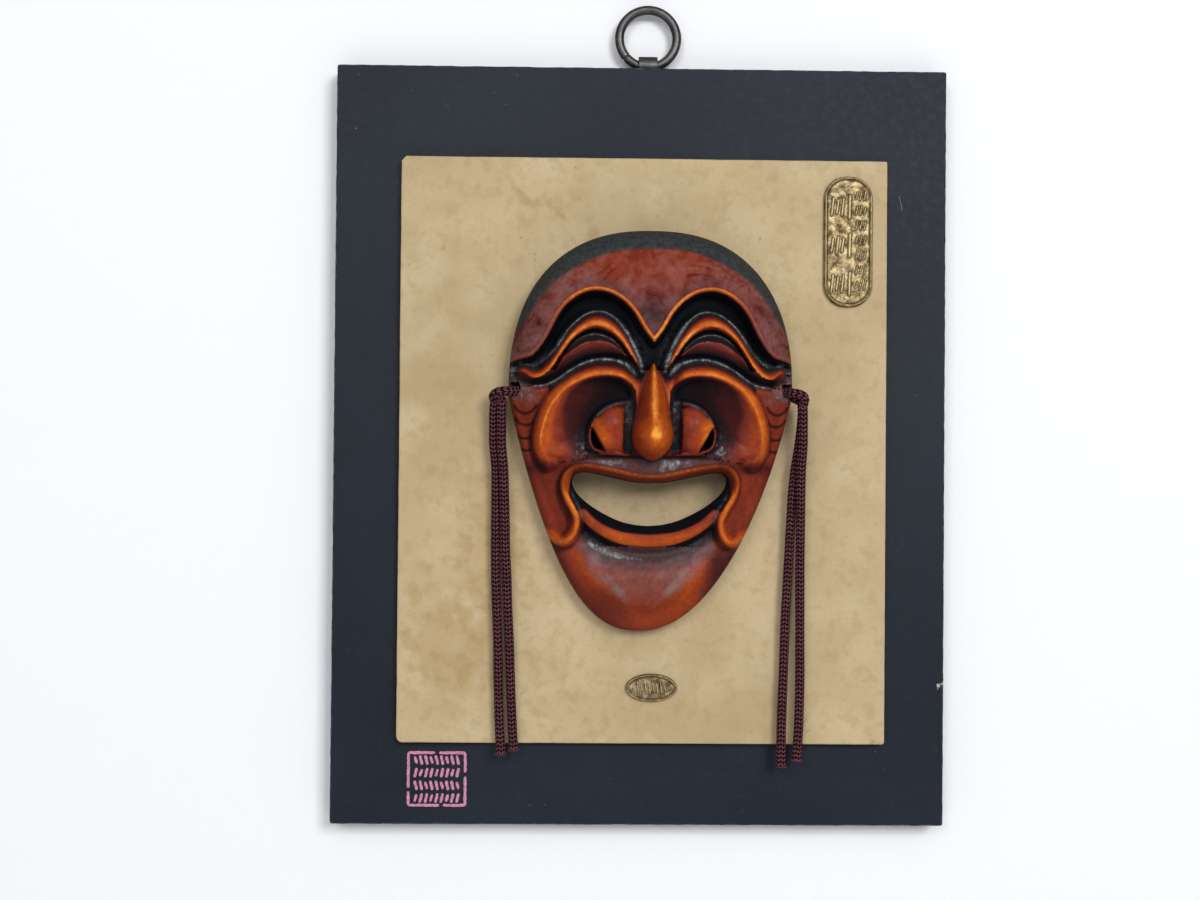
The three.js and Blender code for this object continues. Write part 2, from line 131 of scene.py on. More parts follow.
def remap(tree, value, low, high, toLow=0.0, toHigh=1.0):
    return node(tree, "MapRange", {0: value, 1: low, 2: high, 3: toLow, 4: toHigh}).outputs[0]


def maths(tree, operation, a, b=0.0):
    return node(tree, "Math", {0: a, 1: b}, operation=operation, use_clamp=True).outputs[0]


def blend(tree, share, a, b):
    made = node(tree, "Mix", data_type="RGBA")
    for socket, value in ((made.inputs[0], share), (made.inputs[6], a), (made.inputs[7], b)):
        if isinstance(value, bpy.types.NodeSocket):
            tree.links.new(value, socket)
        else:
            socket.default_value = (*value, 1) if isinstance(value, tuple) else value
    return made.outputs[2]


def painted(tree, name):
    return node(tree, "Attribute", attribute_name=name).outputs["Fac"]


def layer(tree, colour, over, value, low, high, share=1):
    # another colour over this one, more of it as a value rises from low to high
    return blend(tree, remap(tree, value, low, high, 0, share), colour, over)


def together(tree, a, b, share):
    # two heights as one: a share of the first and the rest of the second
    return maths(tree, "ADD", maths(tree, "MULTIPLY", a, share), maths(tree, "MULTIPLY", b, 1 - share))


def dress(tree, shader, colour, roughness, height, strength, distance):
    bump = node(tree, "Bump", {"Height": height, "Strength": strength, "Distance": distance})
    for value, name in ((colour, "Base Color"), (roughness, "Roughness"), (bump.outputs[0], "Normal")):
        tree.links.new(value, shader.inputs[name])


# Meshes: pieces from points and faces, joins and cuts, curves, and tubes along them

def newMesh(name, points, faces, sharpAngle=None, lying=True):
    mesh = bpy.data.meshes.new(name)
    mesh.from_pydata((standUp(points) if lying else np.asarray(points)).tolist(), [], faces)
    mesh.update()
    made = bpy.data.objects.new(name, mesh)
    scene.collection.objects.link(made)
    if sharpAngle is not None:
        shade(made, sharpAngle)
    return made


def shade(piece, sharpAngle=35):
    piece.data.shade_smooth()
    piece.data.set_sharp_from_angle(angle=math.radians(sharpAngle))
    return piece


def finishPiece(piece, material, body="plaque", replaced=()):
    piece.data.materials.clear()
    piece.data.materials.append(material)
    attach(piece, body)
    if replaced:
        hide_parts(*replaced)
    return piece


def combine(base, tool, operation="DIFFERENCE"):
    made = base.modifiers.new("combine", "BOOLEAN")
    made.object, made.operation, made.solver = tool, operation, "MANIFOLD"
    mesh = bpy.data.meshes.new_from_object(base.evaluated_get(bpy.context.evaluated_depsgraph_get()))
    if not len(mesh.polygons):
        made.solver = "EXACT"
        mesh = bpy.data.meshes.new_from_object(base.evaluated_get(bpy.context.evaluated_depsgraph_get()))
    base.modifiers.clear()
    base.data = mesh
    bpy.data.objects.remove(tool)
    return base


def drill(body, start, end, radii):
    # radii: one row for each ring of the drill from start to end
    return combine(body, tube("drill", np.linspace(start, end, len(radii)), radii))


def setAttribute(piece, name, values):
    made = piece.data.attributes.new(name, "FLOAT", "POINT")
    made.data.foreach_set("value", np.asarray(values, np.float32))


def pointsOf(piece):
    flat = np.empty(len(piece.data.vertices) * 3, np.float32)
    piece.data.vertices.foreach_get("co", flat)
    flat = flat.reshape(-1, 3).astype(float) / mm
    return np.stack([flat[:, 0], flat[:, 2], -flat[:, 1]], -1)


def joined(name, pieces):
    # one object from several, the meshes side by side
    made = bmesh.new()
    for piece in pieces:
        made.from_mesh(piece.data)
        bpy.data.objects.remove(piece)
    mesh = bpy.data.meshes.new(name)
    made.to_mesh(mesh)
    made.free()
    whole = bpy.data.objects.new(name, mesh)
    scene.collection.objects.link(whole)
    return whole


def splineThrough(points, before, after, steps):
    # a smooth curve through the points, with so many steps between each two
    t = np.linspace(0, 1, steps, endpoint=False)[:, None]
    ways = [before, *points, after]
    parts = [0.5 * (2 * b + (c - a) * t + (2 * a - 5 * b + 4 * c - d) * t ** 2 + (3 * b - a - 3 * c + d) * t ** 3)
             for a, b, c, d in zip(ways, ways[1:], ways[2:], ways[3:])]
    return np.concatenate([*parts, points[-1:]])


def curveThrough(points, count):
    # evenly spaced places on a smooth curve through the points, and how far along it each one is
    points = np.asarray(points, float)
    fine = splineThrough(points, 2 * points[0] - points[1], 2 * points[-1] - points[-2], 24)
    along = np.concatenate([[0], np.cumsum(np.linalg.norm(np.diff(fine, axis=0), axis=1))])
    wanted = np.linspace(0, along[-1], count)
    return np.stack([np.interp(wanted, along, fine[:, axis]) for axis in range(fine.shape[1])], -1), wanted


def framesAlong(path):
    # two directions square to the path and to each other, which don't twist along it
    ahead = np.gradient(path, axis=0)
    ahead /= np.linalg.norm(ahead, axis=1)[:, None]
    side = np.cross(ahead[0], [0.0, 0.0, 1.0] if abs(ahead[0][2]) < 0.9 else [1.0, 0.0, 0.0])
    sides = []
    for direction in ahead:
        side = side - direction * (side @ direction)
        side = side / np.linalg.norm(side)
        sides.append(side)
    sides = np.array(sides)
    return sides, np.cross(ahead, sides)


def sleeve(rings, sides, capped=False):
    # faces between rings of points that follow one another, and a flat face over each end
    faces = []
    for low in range(0, (rings - 1) * sides, sides):
        high = low + sides
        faces += [(low + i, low + (i + 1) % sides, high + (i + 1) % sides, high + i) for i in range(sides)]
    if capped:
        faces += [tuple(reversed(range(sides))), tuple(range((rings - 1) * sides, rings * sides))]
    return faces


def tube(name, path, radii, lying=True, sharpAngle=60):
    # radii: one row for each point of the path, and one column for each side
    across, over = framesAlong(path)
    rings, sides = radii.shape
    angle = np.linspace(0, 2 * math.pi, sides, endpoint=False)
    spoke = across[:, None] * np.cos(angle)[None, :, None] + over[:, None] * np.sin(angle)[None, :, None]
    points = (path[:, None] + spoke * radii[..., None]).reshape(-1, 3)
    first, last, top = len(points), len(points) + 1, (rings - 1) * sides
    points = np.concatenate([points, path[:1], path[-1:]])
    faces = sleeve(rings, sides)
    faces += [(first, (i + 1) % sides, i) for i in range(sides)]
    faces += [(last, top + i, top + (i + 1) % sides) for i in range(sides)]
    return newMesh(name, points, faces, sharpAngle, lying)


# Cords: a round braid of slanting stitches, whose columns lean to either side by turns

cords = {
    "diameter": 0.0032, "columns": 10, "pitch": 0.0014, "ringStep": 0.00018, "sides": 60, "stitchDepth": 0.00034,
    "slope": 0.3, "flare": 0.05, "flareLength": 0.0008,
    "fibres": {"count": 30, "thickness": 0.00007, "reach": (0.0003, 0.0009), "spread": 0.00025},
    # the strands pass the same heights between their tops and their cut ends
    "heights": (0.01, 0.005, 0, -0.008, -0.017, -0.026, -0.035, -0.045, -0.055, -0.065, -0.075, -0.084, -0.092),
    # from top to end, how far across and how far forward; turns is the pattern's, in columns, at the top and the end
    "strands": {
        "cord_left_outer": {
            "ends": (0.0136, -0.101), "turns": (-0.15, 0.25),
            "across": (-0.0476, -0.0479, -0.0479, -0.0479, -0.0472, -0.0471, -0.0471, -0.0471, -0.0469,
                       -0.0465, -0.0461, -0.0459, -0.0456, -0.0453, -0.0448),
            "forward": (-0.0212, -0.0204, -0.0194, -0.0187, -0.0179, -0.0174, -0.0171, -0.0169, -0.0168,
                        -0.0168, -0.0168, -0.0167, -0.0167, -0.0167, -0.0167)},
        "cord_left_inner": {
            "ends": (0.0136, -0.0995), "turns": (0.1, -0.1),
            "across": (-0.0452, -0.0453, -0.0453, -0.0453, -0.0446, -0.0443, -0.044, -0.0438, -0.0433, -0.0429,
                       -0.0424, -0.042, -0.0416, -0.0412, -0.0407),
            "forward": (-0.0238, -0.0231, -0.0221, -0.0214, -0.0204, -0.0196, -0.0188, -0.0182, -0.0177,
                        -0.0174, -0.0172, -0.0171, -0.017, -0.0169, -0.0169)},
        "cord_right_inner": {
            "ends": (0.013, -0.1045), "turns": (0.3, 0.75),
            "across": (0.0519, 0.052, 0.0517, 0.0512, 0.0501, 0.0493, 0.0489, 0.0485, 0.048, 0.0475, 0.0472,
                       0.0469, 0.0466, 0.0464, 0.0463),
            "forward": (-0.0214, -0.0207, -0.0198, -0.0192, -0.0185, -0.018, -0.0176, -0.0173, -0.0171, -0.017,
                        -0.0169, -0.0169, -0.0168, -0.0168, -0.0168)},
        "cord_right_outer": {
            "ends": (0.013, -0.1025), "turns": (-0.1, 0.55),
            "across": (0.0516, 0.0518, 0.0519, 0.052, 0.0517, 0.0517, 0.0518, 0.0519, 0.052, 0.0521, 0.0522,
                       0.0523, 0.0522, 0.052, 0.0513),
            "forward": (-0.025, -0.0245, -0.0237, -0.0229, -0.0217, -0.0206, -0.0196, -0.0186, -0.018, -0.0176,
                        -0.0173, -0.0171, -0.017, -0.0169, -0.0169)},
    },
}


def strandRoute(facts):
    top, end = facts["ends"]
    return list(zip(facts["across"], facts["forward"], (top, *cords["heights"], end)))


def braidMaterial():
    material, tree, shader = newMaterial("maroonBraid", Specular_IOR_Level=0.06)
    height = painted(tree, "stitch")
    fibre = noise(tree, 5200, 2, 0.7)
    patchy = noise(tree, 260, 2)
    dark = blend(tree, patchy, (0.003, 0.0008, 0.0016), (0.01, 0.002, 0.0035))
    light = blend(tree, patchy, (0.1, 0.027, 0.037), (0.25, 0.098, 0.112))
    # painted shade: the colour falls to near black down in the gaps between stitches; the stitches' tops are a
    # lighter maroon
    colour = blend(tree, remap(tree, height, 0.66, 1.0), dark, light)
    colour = layer(tree, colour, (0.22, 0.11, 0.115), fibre, 0.52, 0.8, 0.3)
    colour = blend(tree, maths(tree, "MULTIPLY", painted(tree, "frayed"), 0.75), colour, (0.15, 0.045, 0.058))
    dress(tree, shader, colour, remap(tree, height, 0, 1, 0.95, 0.66), fibre, 0.5, 0.00006)
    return material


def braid(name, path, along, turns, cutEnd=True):
    # stitches lie in columns round the cord; a column leans one way and the next the other
    sides, columns = cords["sides"], cords["columns"]
    turn = np.linspace(*turns, len(along))[:, None]
    angle = np.linspace(0, columns, sides, endpoint=False)[None, :] + turn
    column = np.floor(angle)
    across = (angle - column) * 2 - 1
    slant = np.where(column % 2 == 0, 1, -1)
    place = along[:, None] / cords["pitch"] + cords["slope"] * slant * across
    row = (place - np.floor(place)) * 2 - 1
    height = np.sqrt(np.clip(1 - (1.12 * row) ** 2, 0, 1)) * (1 - 0.6 * np.abs(across) ** 4)
    radii = cords["diameter"] / 2 - cords["stitchDepth"] * (1 - height)
    radii = radii * (1 + 0.012 * np.sin(along[:, None] / 0.0041 + 7 * turns[0]))
    left = (along[-1] - along)[:, None] / cords["flareLength"]
    if cutEnd:
        radii = radii * (1 + cords["flare"] * smooth(left, 1, 0.1))
    else:
        radii = radii * mix(0.86, 1, smooth(left, 0.55, 1.1))
    frayed = smooth(left, 0.9, 0) * np.ones_like(height) if cutEnd else np.zeros_like(height)
    made = tube(name, path, radii, lying=False)
    setAttribute(made, "stitch", [*height.ravel(), 0.1, 0.6])
    setAttribute(made, "frayed", [*frayed.ravel(), 0, float(cutEnd)])
    return made


def frayedEnd(path, seed):
    # cut fibres that stand out of a strand's end
    draw = np.random.default_rng(seed)
    facts = cords["fibres"]
    made = []
    for i in range(facts["count"]):
        angle, out = draw.uniform(0, 2 * math.pi), cords["diameter"] / 2 * math.sqrt(draw.uniform(0.1, 1.25))
        spoke = np.array([math.cos(angle), math.sin(angle), 0])
        start = path[-3] + spoke * out
        reach = draw.uniform(*facts["reach"])
        away = spoke * abs(draw.normal(0, facts["spread"])) + [0, 0, -reach]
        line, _ = curveThrough([start, start + away * 0.55 + draw.normal(0, 0.00012, 3), start + away], 5)
        thin = np.linspace(1, 0.5, 5)[:, None] * np.full((1, 5), facts["thickness"])
        made.append(tube(f"fibre{i}", line, thin, lying=False))
        for attribute in ("stitch", "frayed"):
            setAttribute(made[-1], attribute, np.full(len(made[-1].data.vertices), 0.8))
    return made


def braidLine(route):
    # where the braid's rings lie, how far along the cord each one is, and the whole length
    length = curveThrough(route, 2)[1][-1]
    path, along = curveThrough(route, int(length / cords["ringStep"]))
    return path, along, length


maroonBraid = braidMaterial()
strands = {}
for i, (cordName, facts) in enumerate(cords["strands"].items()):
    route = strandRoute(facts)
    path, along, length = braidLine(route)
    strand = braid(cordName + "_braid", path, along, facts["turns"])
    strand = joined(cordName + "_braid", [strand, *frayedEnd(path, 40 + i)])
    finishPiece(strand, maroonBraid, replaced=[cordName])
    strands[cordName] = (strand, route, path, length)
print("cords braided")


# Knots: the doubled cord comes out of the mask's cord hole, and its two strands bend down over the edge

knots = {
    # each strand's way in millimetres, lying down, from inside the mask to just over the strand's top
    "cord_left_inner": {"way": [(-36.0, 17.0, 19.4), (-40.3, 16.9, 23.2), (-42.4, 16.7, 25.1), (-44.3, 16.8, 26.0),
                                (-45.8, 16.3, 25.7), (-46.1, 15.0, 24.7)], "turns": (0.2, 0.4)},
    "cord_left_outer": {"way": [(-37.0, 16.6, 18.0), (-41.0, 16.6, 21.2), (-44.2, 16.9, 21.7), (-46.6, 16.6, 21.8),
                                (-48.0, 15.4, 21.6)], "turns": (0.4, 0.1)},
    "cord_right_outer": {"way": [(41.4, 17.2, 19.6), (46.0, 17.1, 23.9), (47.8, 16.9, 25.9), (49.6, 16.6, 27.0),
                                 (51.4, 15.9, 26.9), (52.0, 14.5, 26.0)], "turns": (0.6, 0.2)},
    "cord_right_inner": {"way": [(42.0, 16.6, 18.0), (46.6, 16.4, 21.3), (48.6, 15.6, 22.4), (50.2, 14.9, 22.6),
                                 (51.5, 14.2, 22.1)], "turns": (0.1, 0.5)},
}


def cordKnot(side):
    loops = []
    for cordName, facts in knots.items():
        if side not in cordName:
            continue
        path = strands[cordName][2]
        line, along, _ = braidLine([*standUp(facts["way"]), path[0], path[4]])
        loops.append(braid(cordName + "_loop", line, along, facts["turns"], cutEnd=False))
    knot = joined("knot_" + side, loops)
    return finishPiece(knot, maroonBraid, replaced=["cord_knot_" + side])


knotPieces = {side: cordKnot(side) for side in ("left", "right")}
print("knots tied")


# The mask's carving, on its own face in millimetres: x from the middle, y from the middle of its height

mask = {"x": 2.85, "y": 4.9, "halfWidth": 46.2, "top": 64.8, "bottom": -65.4, "widest": 11.4, "rim": 3.0,
        "face": 24.0, "upper": 2.375, "lower": 1.103, "side": 2.255,  # the outline's powers
        "jaw": {"lean": -3.5, "from": 21.0, "length": 86.0, "growth": 2.6},
        "edge": 4.5, "hollow": 12.5, "columns": 246, "rows": 350,
        "hole": {"x": 43.3, "y": 12.8, "depths": (9.5, 7.3), "radius": 2.2, "lean": 0.72}}
nose = {"root": 21.0, "tip": -2.6, "rise": 12.6, "ground": -4.0, "bottom": -10.4}
wing = {"x": 13.4, "y": -0.6, "width": 7.6, "height": 9.2, "ground": -5.8, "rise": 8.4, "cut": (17.9, -2.1),
        "cutAway": (0.874, -0.487), "strip": (6.3, 8.9)}
chin = {"x": 2.0, "y": -50.0, "width": 19.0, "height": 8.6, "rise": 6.2}


def carvingLine(points):
    points = np.asarray(points, float)
    return splineThrough(points, points[0], points[-1], 5)


lines = {name: carvingLine(points) for name, points in {
    "hairline": [(0, 57.3), (7.8, 57), (13.8, 55.9), (19.9, 53.6), (25.9, 50.6), (31.2, 46.9), (35.4, 42.2),
                 (38.8, 37.6), (41, 33.8)],
    "browEdge": [(0, 27.2), (2.9, 31), (6, 36.3), (9.2, 39.9), (12.9, 42.4), (16.6, 43.5), (20.2, 43.5),
                 (23.9, 42.1), (27.4, 39.5), (30.2, 35.9), (32.4, 31.6), (34.7, 27.5), (37.3, 24.2),
                 (40.1, 22.6), (50, 21)],
    "lidRidge": [(4.9, 19.3), (7.2, 23.3), (9.7, 27.4), (12.9, 30.8), (16, 32.5), (19.1, 32.8), (22.7, 31.4),
                 (26, 28.5), (28.4, 25), (30.5, 21.4), (33, 18.1), (35.6, 16.2), (38.2, 16), (41, 18)],
    "dustLine": [(3.6, 18.1), (5, 23.2), (7.3, 28.2), (10.7, 33.3), (14.3, 36.4), (17.9, 37.1), (21.5, 36),
                 (25.1, 33.1), (28.1, 29.4), (30.9, 25.4), (34.1, 22.4), (38.1, 20.2), (42.3, 20.9)],
    "lidSlit": [(6, 18.6), (7.2, 21), (8.9, 23.6), (11.2, 26.4), (14, 28.5), (17.6, 29.6), (21.3, 29.2), (24.8, 27.2),
                (27.6, 24.1), (29.4, 21.2), (31, 18.4)],
    "eyelidTop": [(8.9, 22.9), (11.3, 25), (14.1, 26.7), (17.5, 27.4), (21.4, 26.8), (24.5, 25.1), (27.3, 22.9)],
    "lidGroove": [(4.9, 16.9), (7.7, 19.7), (11.3, 21.5), (15.1, 22), (18.8, 21.7), (22.7, 20.4), (26.4, 18.3),
                  (29.9, 15.8), (33.7, 14), (37.5, 13.5)],
    "cheekRim": [(6, -4), (5.6, 3), (5.4, 9.1), (5.6, 11.9), (7, 14.2), (9.4, 15.9), (12.7, 16.7), (16.3, 16.8),
                 (20.1, 16.3), (23.9, 14.9), (27.2, 13), (30, 10.3), (32.3, 7.1), (33.8, 3.6),
                 (35, -0.3), (35.4, -3.9), (34.9, -7.1), (33.2, -10), (31, -10.9)],
    "noseSide": [(0, 21.1), (1.6, 18.3), (3.2, 15.4), (4.3, 11.8), (5.1, 7.7), (5.7, 3.6), (6.5, 0.5), (6.8, -2.2),
                 (6.2, -5.1), (4.7, -7.8), (2.4, -9.6), (0, -10.3)],
    "wingArc": [(7.5, 8.3), (10.9, 7.9), (14.4, 6.7), (17.2, 4.5), (19, 1.9), (19.9, -0.2), (20.1, -3), (19.4, -5.6),
                (17.5, -7.3), (13.7, -8), (7.7, -8.2)],
    "lipEdge": [(0, -16.2), (4.7, -15.8), (9.8, -14.7), (15.4, -13.5), (20.5, -12.8), (24.1, -13.2), (26.5, -15.4),
                (27.1, -18.8), (26.1, -22.4), (24.4, -25.4), (23.1, -28.3), (23, -30.9), (24.1, -34), (26.2, -36.1),
                (28.4, -36.4), (30.6, -35), (36, -33)],
    "mouthLine": [(0, -17.4), (5.1, -17.1), (9.8, -16.2), (14.6, -15.1), (19.1, -14.2), (22.3, -14.1), (24.3, -15.1),
                  (24.8, -17.6), (23.1, -20.8), (19.7, -23.9), (15.3, -26.7), (9.6, -29.4), (4.5, -30.7), (0, -31.1)],
    "lipBand": [(0, -35.6), (7.2, -35), (13, -33.1), (17.6, -30.3), (20.9, -27.1)],
    "lipGroove": [(0, -40.1), (6.6, -39.4), (12, -37.9), (17.1, -35.7), (21.1, -33.1)],
    "chinRidge": [(20.5, -37.5), (16.5, -43), (11, -49.5), (4, -56.5)],
}.items()}

# corners that close a line into a region, whose inside then counts as positive
regions = {
    "hairline": [(60, 10), (60, 90), (-1, 90), (-1, 57.3)], "browEdge": [(50, -80), (-1, -80), (-1, 27.2)],
    "lidRidge": [(50, 18), (50, 90), (-1, 90), (-1, 19.3)], "dustLine": [(50, 21), (50, 90), (-1, 90), (-1, 18.1)],
    "lidGroove": [(50, 13.5), (50, 90), (-1, 90), (-1, 16.9)], "cheekRim": [(21, -9.5)],
    "eyelidTop": [(50, 22.9), (50, 90), (-1, 90), (-1, 22.9)], "wingArc": [(6.5, -8.2), (6.5, 8.3)],
    "lidSlit": [(50, 18.4), (50, 90), (-1, 90), (-1, 18.6)], "chinRidge": [(-1, -56.5), (-1, -37.5)],
    "lipEdge": [(50, -33), (50, -80), (-1, -80), (-1, -16.2)], "mouthLine": [(-1, -31.1), (-1, -17.4)],
}


def awaySquared(x, y, ax, ay, bx, by):
    # squared distance to the straight line from a to b
    dx, dy = bx - ax, by - ay
    t = np.clip(((x - ax) * dx + (y - ay) * dy) / (dx * dx + dy * dy), 0, 1)
    return (x - ax - t * dx) ** 2 + (y - ay - t * dy) ** 2


def farFrom(lineName, x, y):
    points = lines[lineName]
    pairs = [(*a, *b) for a, b in zip(points, points[1:]) if (a != b).any()]
    best = np.full(x.shape, np.inf)
    for pair in pairs:
        best = np.minimum(best, awaySquared(x, y, *pair))
    return np.sqrt(best)


def inside(lineName, x, y):
    points = [*lines[lineName], *regions[lineName]]
    odd = np.zeros(x.shape, bool)
    for (ax, ay), (bx, by) in zip(points, [points[-1], *points[:-1]]):
        if ay != by:
            odd ^= ((ay > y) != (by > y)) & (x < (bx - ax) * (y - ay) / (by - ay) + ax)
    return odd


def sampler(values, xs, ys):
    # smooth look-up in a table of values over a grid
    step = xs[1] - xs[0]

    def look(x, y):
        u, v = np.clip((x - xs[0]) / step, 0, len(xs) - 1.001), np.clip((y - ys[0]) / step, 0, len(ys) - 1.001)
        i, j = u.astype(int), v.astype(int)
        s, t = u - i, v - j
        return mix(mix(values[j, i], values[j, i + 1], s), mix(values[j + 1, i], values[j + 1, i + 1], s), t)

    return look


def surveyed():
    # distances from every line, on one half of the face; signed for lines that bound a region
    xs, ys = np.arange(0, 48.4, 0.25), np.arange(-68, 68.4, 0.25)
    x, y = np.meshgrid(xs, ys)
    look = {}
    for name in lines:
        far = farFrom(name, x, y)
        if name in regions:
            far = np.where(inside(name, x, y), far, -far)
        look[name] = sampler(far, xs, ys)
    return lambda side, y: {name: read(side, y) for name, read in look.items()}


survey = surveyed()


def softMax(a, b, width):
    near = np.maximum(width - np.abs(a - b), 0) / width
    return np.maximum(a, b) + near * near * width / 4


def softMin(a, b, width):
    return -softMax(-a, -b, width)


def bump(value):
    return np.exp(-value ** 2)


def halfWidth(y):
    up = np.clip((y - mask["widest"]) / (mask["top"] - mask["widest"]), 0, 1)
    down = np.clip((mask["widest"] - y) / (mask["widest"] - mask["bottom"]), 0, 1)
    return mask["halfWidth"] * np.where(y >= mask["widest"], (1 - up ** mask["upper"]) ** (1 / mask["upper"]),
                                        (1 - down ** mask["lower"]) ** (1 / mask["side"]))


def towardsEdge(x, y):
    # 0 in the middle of the widest row and 1 on the outline
    side = np.abs(x) / mask["halfWidth"]
    up = np.clip((y - mask["widest"]) / (mask["top"] - mask["widest"]), 0, 2)
    down = np.clip((mask["widest"] - y) / (mask["widest"] - mask["bottom"]), 0, 2)
    return np.minimum(np.where(y >= mask["widest"], side ** mask["upper"] + up ** mask["upper"],
                               side ** mask["side"] + down ** mask["lower"]), 1)


def leanAt(y):
    jaw = mask["jaw"]
    return jaw["lean"] * np.maximum((jaw["from"] - y) / jaw["length"], 0) ** jaw["growth"]


def noseHalf(y):
    points = lines["noseSide"][::-1]
    return np.interp(y, points[:, 1], points[:, 0], left=0, right=0)


def besideCut(side, y):
    # the slanting cut between a wing's ball and its nostril: positive on the nostril's side
    (cutX, cutY), (awayX, awayY) = wing["cut"], wing["cutAway"]
    return (side - cutX) * awayX + (y - cutY) * awayY


def outsideRim(side, y, near):
    # the cheek's outer side, where the scales are
    return smooth(side, 31, 34) * smooth(y, 12, 8) * smooth(y, -15, -12) * (near["cheekRim"] < 0)


def scaleArcs(side, y):
    # four shallow scallops, one under the other, on the cheek's outer side: distance to the nearest
    best = np.full(side.shape, 9.0)
    for x0, y0, radius in ((40.5, 8.5, 3.7), (40.2, 4.6, 3.6), (40.3, 0.4, 3.7), (39.9, -3.6, 3.5)):
        away = np.abs(np.hypot(side - x0, y - y0) - radius)
        best = np.minimum(best, np.where(y < y0 - 0.9, away, 9))
    return best


def carving(x, y):
    # how far the carved surface stands over the plain dome
    side = np.abs(x)
    near = survey(side, y)
    below = near["browEdge"]
    carved = mix(1.6, mix(-6.2, -2.6, smooth(below, 3, 9)), smooth(below, -0.1, 1.7))
    carved = softMax(carved, 2.3 - 1.7 * (below + 0.65) ** 2, 0.4)
    carved = carved - 0.4 * bump(near["hairline"] / 0.45) + 0.25 * smooth(near["hairline"], -0.2, 0.8)

    # the raised lid, the slit under it, the bulging eyelid and the groove below
    narrow = mix(0.24, 0.55, smooth(np.abs(side - 18), 8, 19))
    carved = softMax(carved, 0.7 - narrow * near["lidRidge"] ** 2, 1.0)
    eyelid = -0.9 - 0.055 * near["eyelidTop"] ** 2
    carved = np.where((near["lidRidge"] < 0) & (eyelid > -3), softMax(carved, eyelid, 0.5), carved)
    reach = np.maximum(np.abs(near["lidRidge"]) + np.abs(near["lidSlit"]), 1.2)
    fromSlit = np.abs(near["lidSlit"] / reach - 0.3) / 0.45
    carved = np.where(near["lidRidge"] < 0, softMin(carved, -3.8 + 3.9 * fromSlit ** 1.6, 0.4), carved)
    carved = softMin(carved, -4.8 + 1.15 * near["lidGroove"] ** 2, 0.7)

    # the cheek: a raised rim round a bowl that deepens towards the nose
    rimTop = mix(-3.5, 1.2, smooth(side, 5, 10))
    rimTop = mix(rimTop, -0.8, smooth(side, 33, 30.5) * smooth(y, -9, -10.8))
    rim = rimTop - 0.3 * near["cheekRim"] ** 2
    slope = mix(1.8, 8, smooth(side, 7, 34))
    bowl = rimTop - 6.8 * (1 - np.exp(-np.maximum(near["cheekRim"], 0) / slope))
    floor = np.interp(side, [6, 21, 31, 36], [-4, -9.5, -10.9, -11])
    bowl = mix(-2.6, bowl, smooth(y - floor, 0, 3.2))
    carved = np.where(near["cheekRim"] > 0, softMax(bowl, rimTop - 0.8 * near["cheekRim"] ** 2, 0.2),
                      np.where(below > 0, softMax(carved, rim, 0.8), carved))
    outer = outsideRim(side, y, near)
    carved = carved - 0.25 * bump((near["cheekRim"] + 2.9) / 0.7) * outer
    carved = carved - 0.45 * bump(scaleArcs(side, y) / 0.35) * outer * (near["cheekRim"] < -3)

    # the wings of the nose: a ball, a nostril cut into its outer side, and a thin rim round that
    inWing = near["wingArc"] > 0
    cut = besideCut(side, y)
    ball = 1 - ((side - wing["x"]) / wing["width"]) ** 2 - ((y - wing["y"]) / wing["height"]) ** 2
    ballTop = wing["ground"] + wing["rise"] * np.sqrt(np.clip(ball, 0, 1))
    ballTop = mix(ballTop, -7, smooth(cut, -0.5, 0.6))
    floor = mix(-3.6, -7, smooth(cut, -0.6, 0.6))
    wingTop = np.where(ball > 0, softMax(floor, ballTop, 0.6), floor)
    wingTop = softMax(wingTop, -0.4 - 3.4 * (near["wingArc"] - 0.35) ** 2, 0.3)
    carved = np.where(inWing, wingTop, carved)
    carved = np.where(inWing, carved, softMax(carved, -0.8 - 2.2 * near["wingArc"] ** 2, 0.4))

    # the nose: a ridge that grows into a round tip, and a groove beside it
    half = np.maximum(noseHalf(y), 1e-3)
    off = np.minimum(side / half, 1)
    under = np.clip((nose["tip"] - y) / (nose["tip"] - nose["bottom"]), 0, 1)
    rise = nose["rise"] * np.clip((nose["root"] - y) / (nose["root"] - nose["tip"]), 0, 1) * (1 - 0.8 * under ** 2.4)
    section = mix(1 - off ** 1.5, np.sqrt(1 - off * off), smooth(-y, -5, 3))
    middle = sum(wing["strip"]) / 2
    groove = (side < wing["strip"][1] + 0.4) & (y < 9) & (y > -8)
    trough = -3.4 + 2.2 * np.maximum(np.abs(side - middle) - 0.7, 0) ** 2
    carved = np.where(groove, np.minimum(carved, trough), carved)
    isNose = (side < half) & (y < nose["root"]) & (y > nose["bottom"])
    carved = np.where(isNose, softMax(carved, nose["ground"] + (rise - nose["ground"]) * section, 0.5), carved)

    # the chin stands back behind the cheeks' flaps, with a bead along their edge and the lower lip's band
    fromLip = near["lipEdge"]
    back = mix(carved, -3.6, smooth(fromLip, 0, 1.4))
    back = back + chin["rise"] * bump(np.hypot((side - chin["x"]) / chin["width"], (y - chin["y"]) / chin["height"]))
    back = back + 0.7 * bump(near["chinRidge"] / 2.6) - 1.6 * smooth(-near["chinRidge"], 0, 9)
    back = softMin(back, -3.6 + 0.55 * near["lipGroove"] ** 2, 0.8)
    bandHalf = mix(2.1, 1.6, smooth(side, 4, 21))
    back = softMax(back, 0.1 - 1.1 * (near["lipBand"] / bandHalf) ** 2, 0.6)
    carved = np.where(fromLip > 0, back, carved)
    carved = softMax(carved, 1.9 - 0.95 * fromLip ** 2, 0.5)
    return softMin(carved, -7 + 3.2 * np.abs(near["mouthLine"]), 0.5)


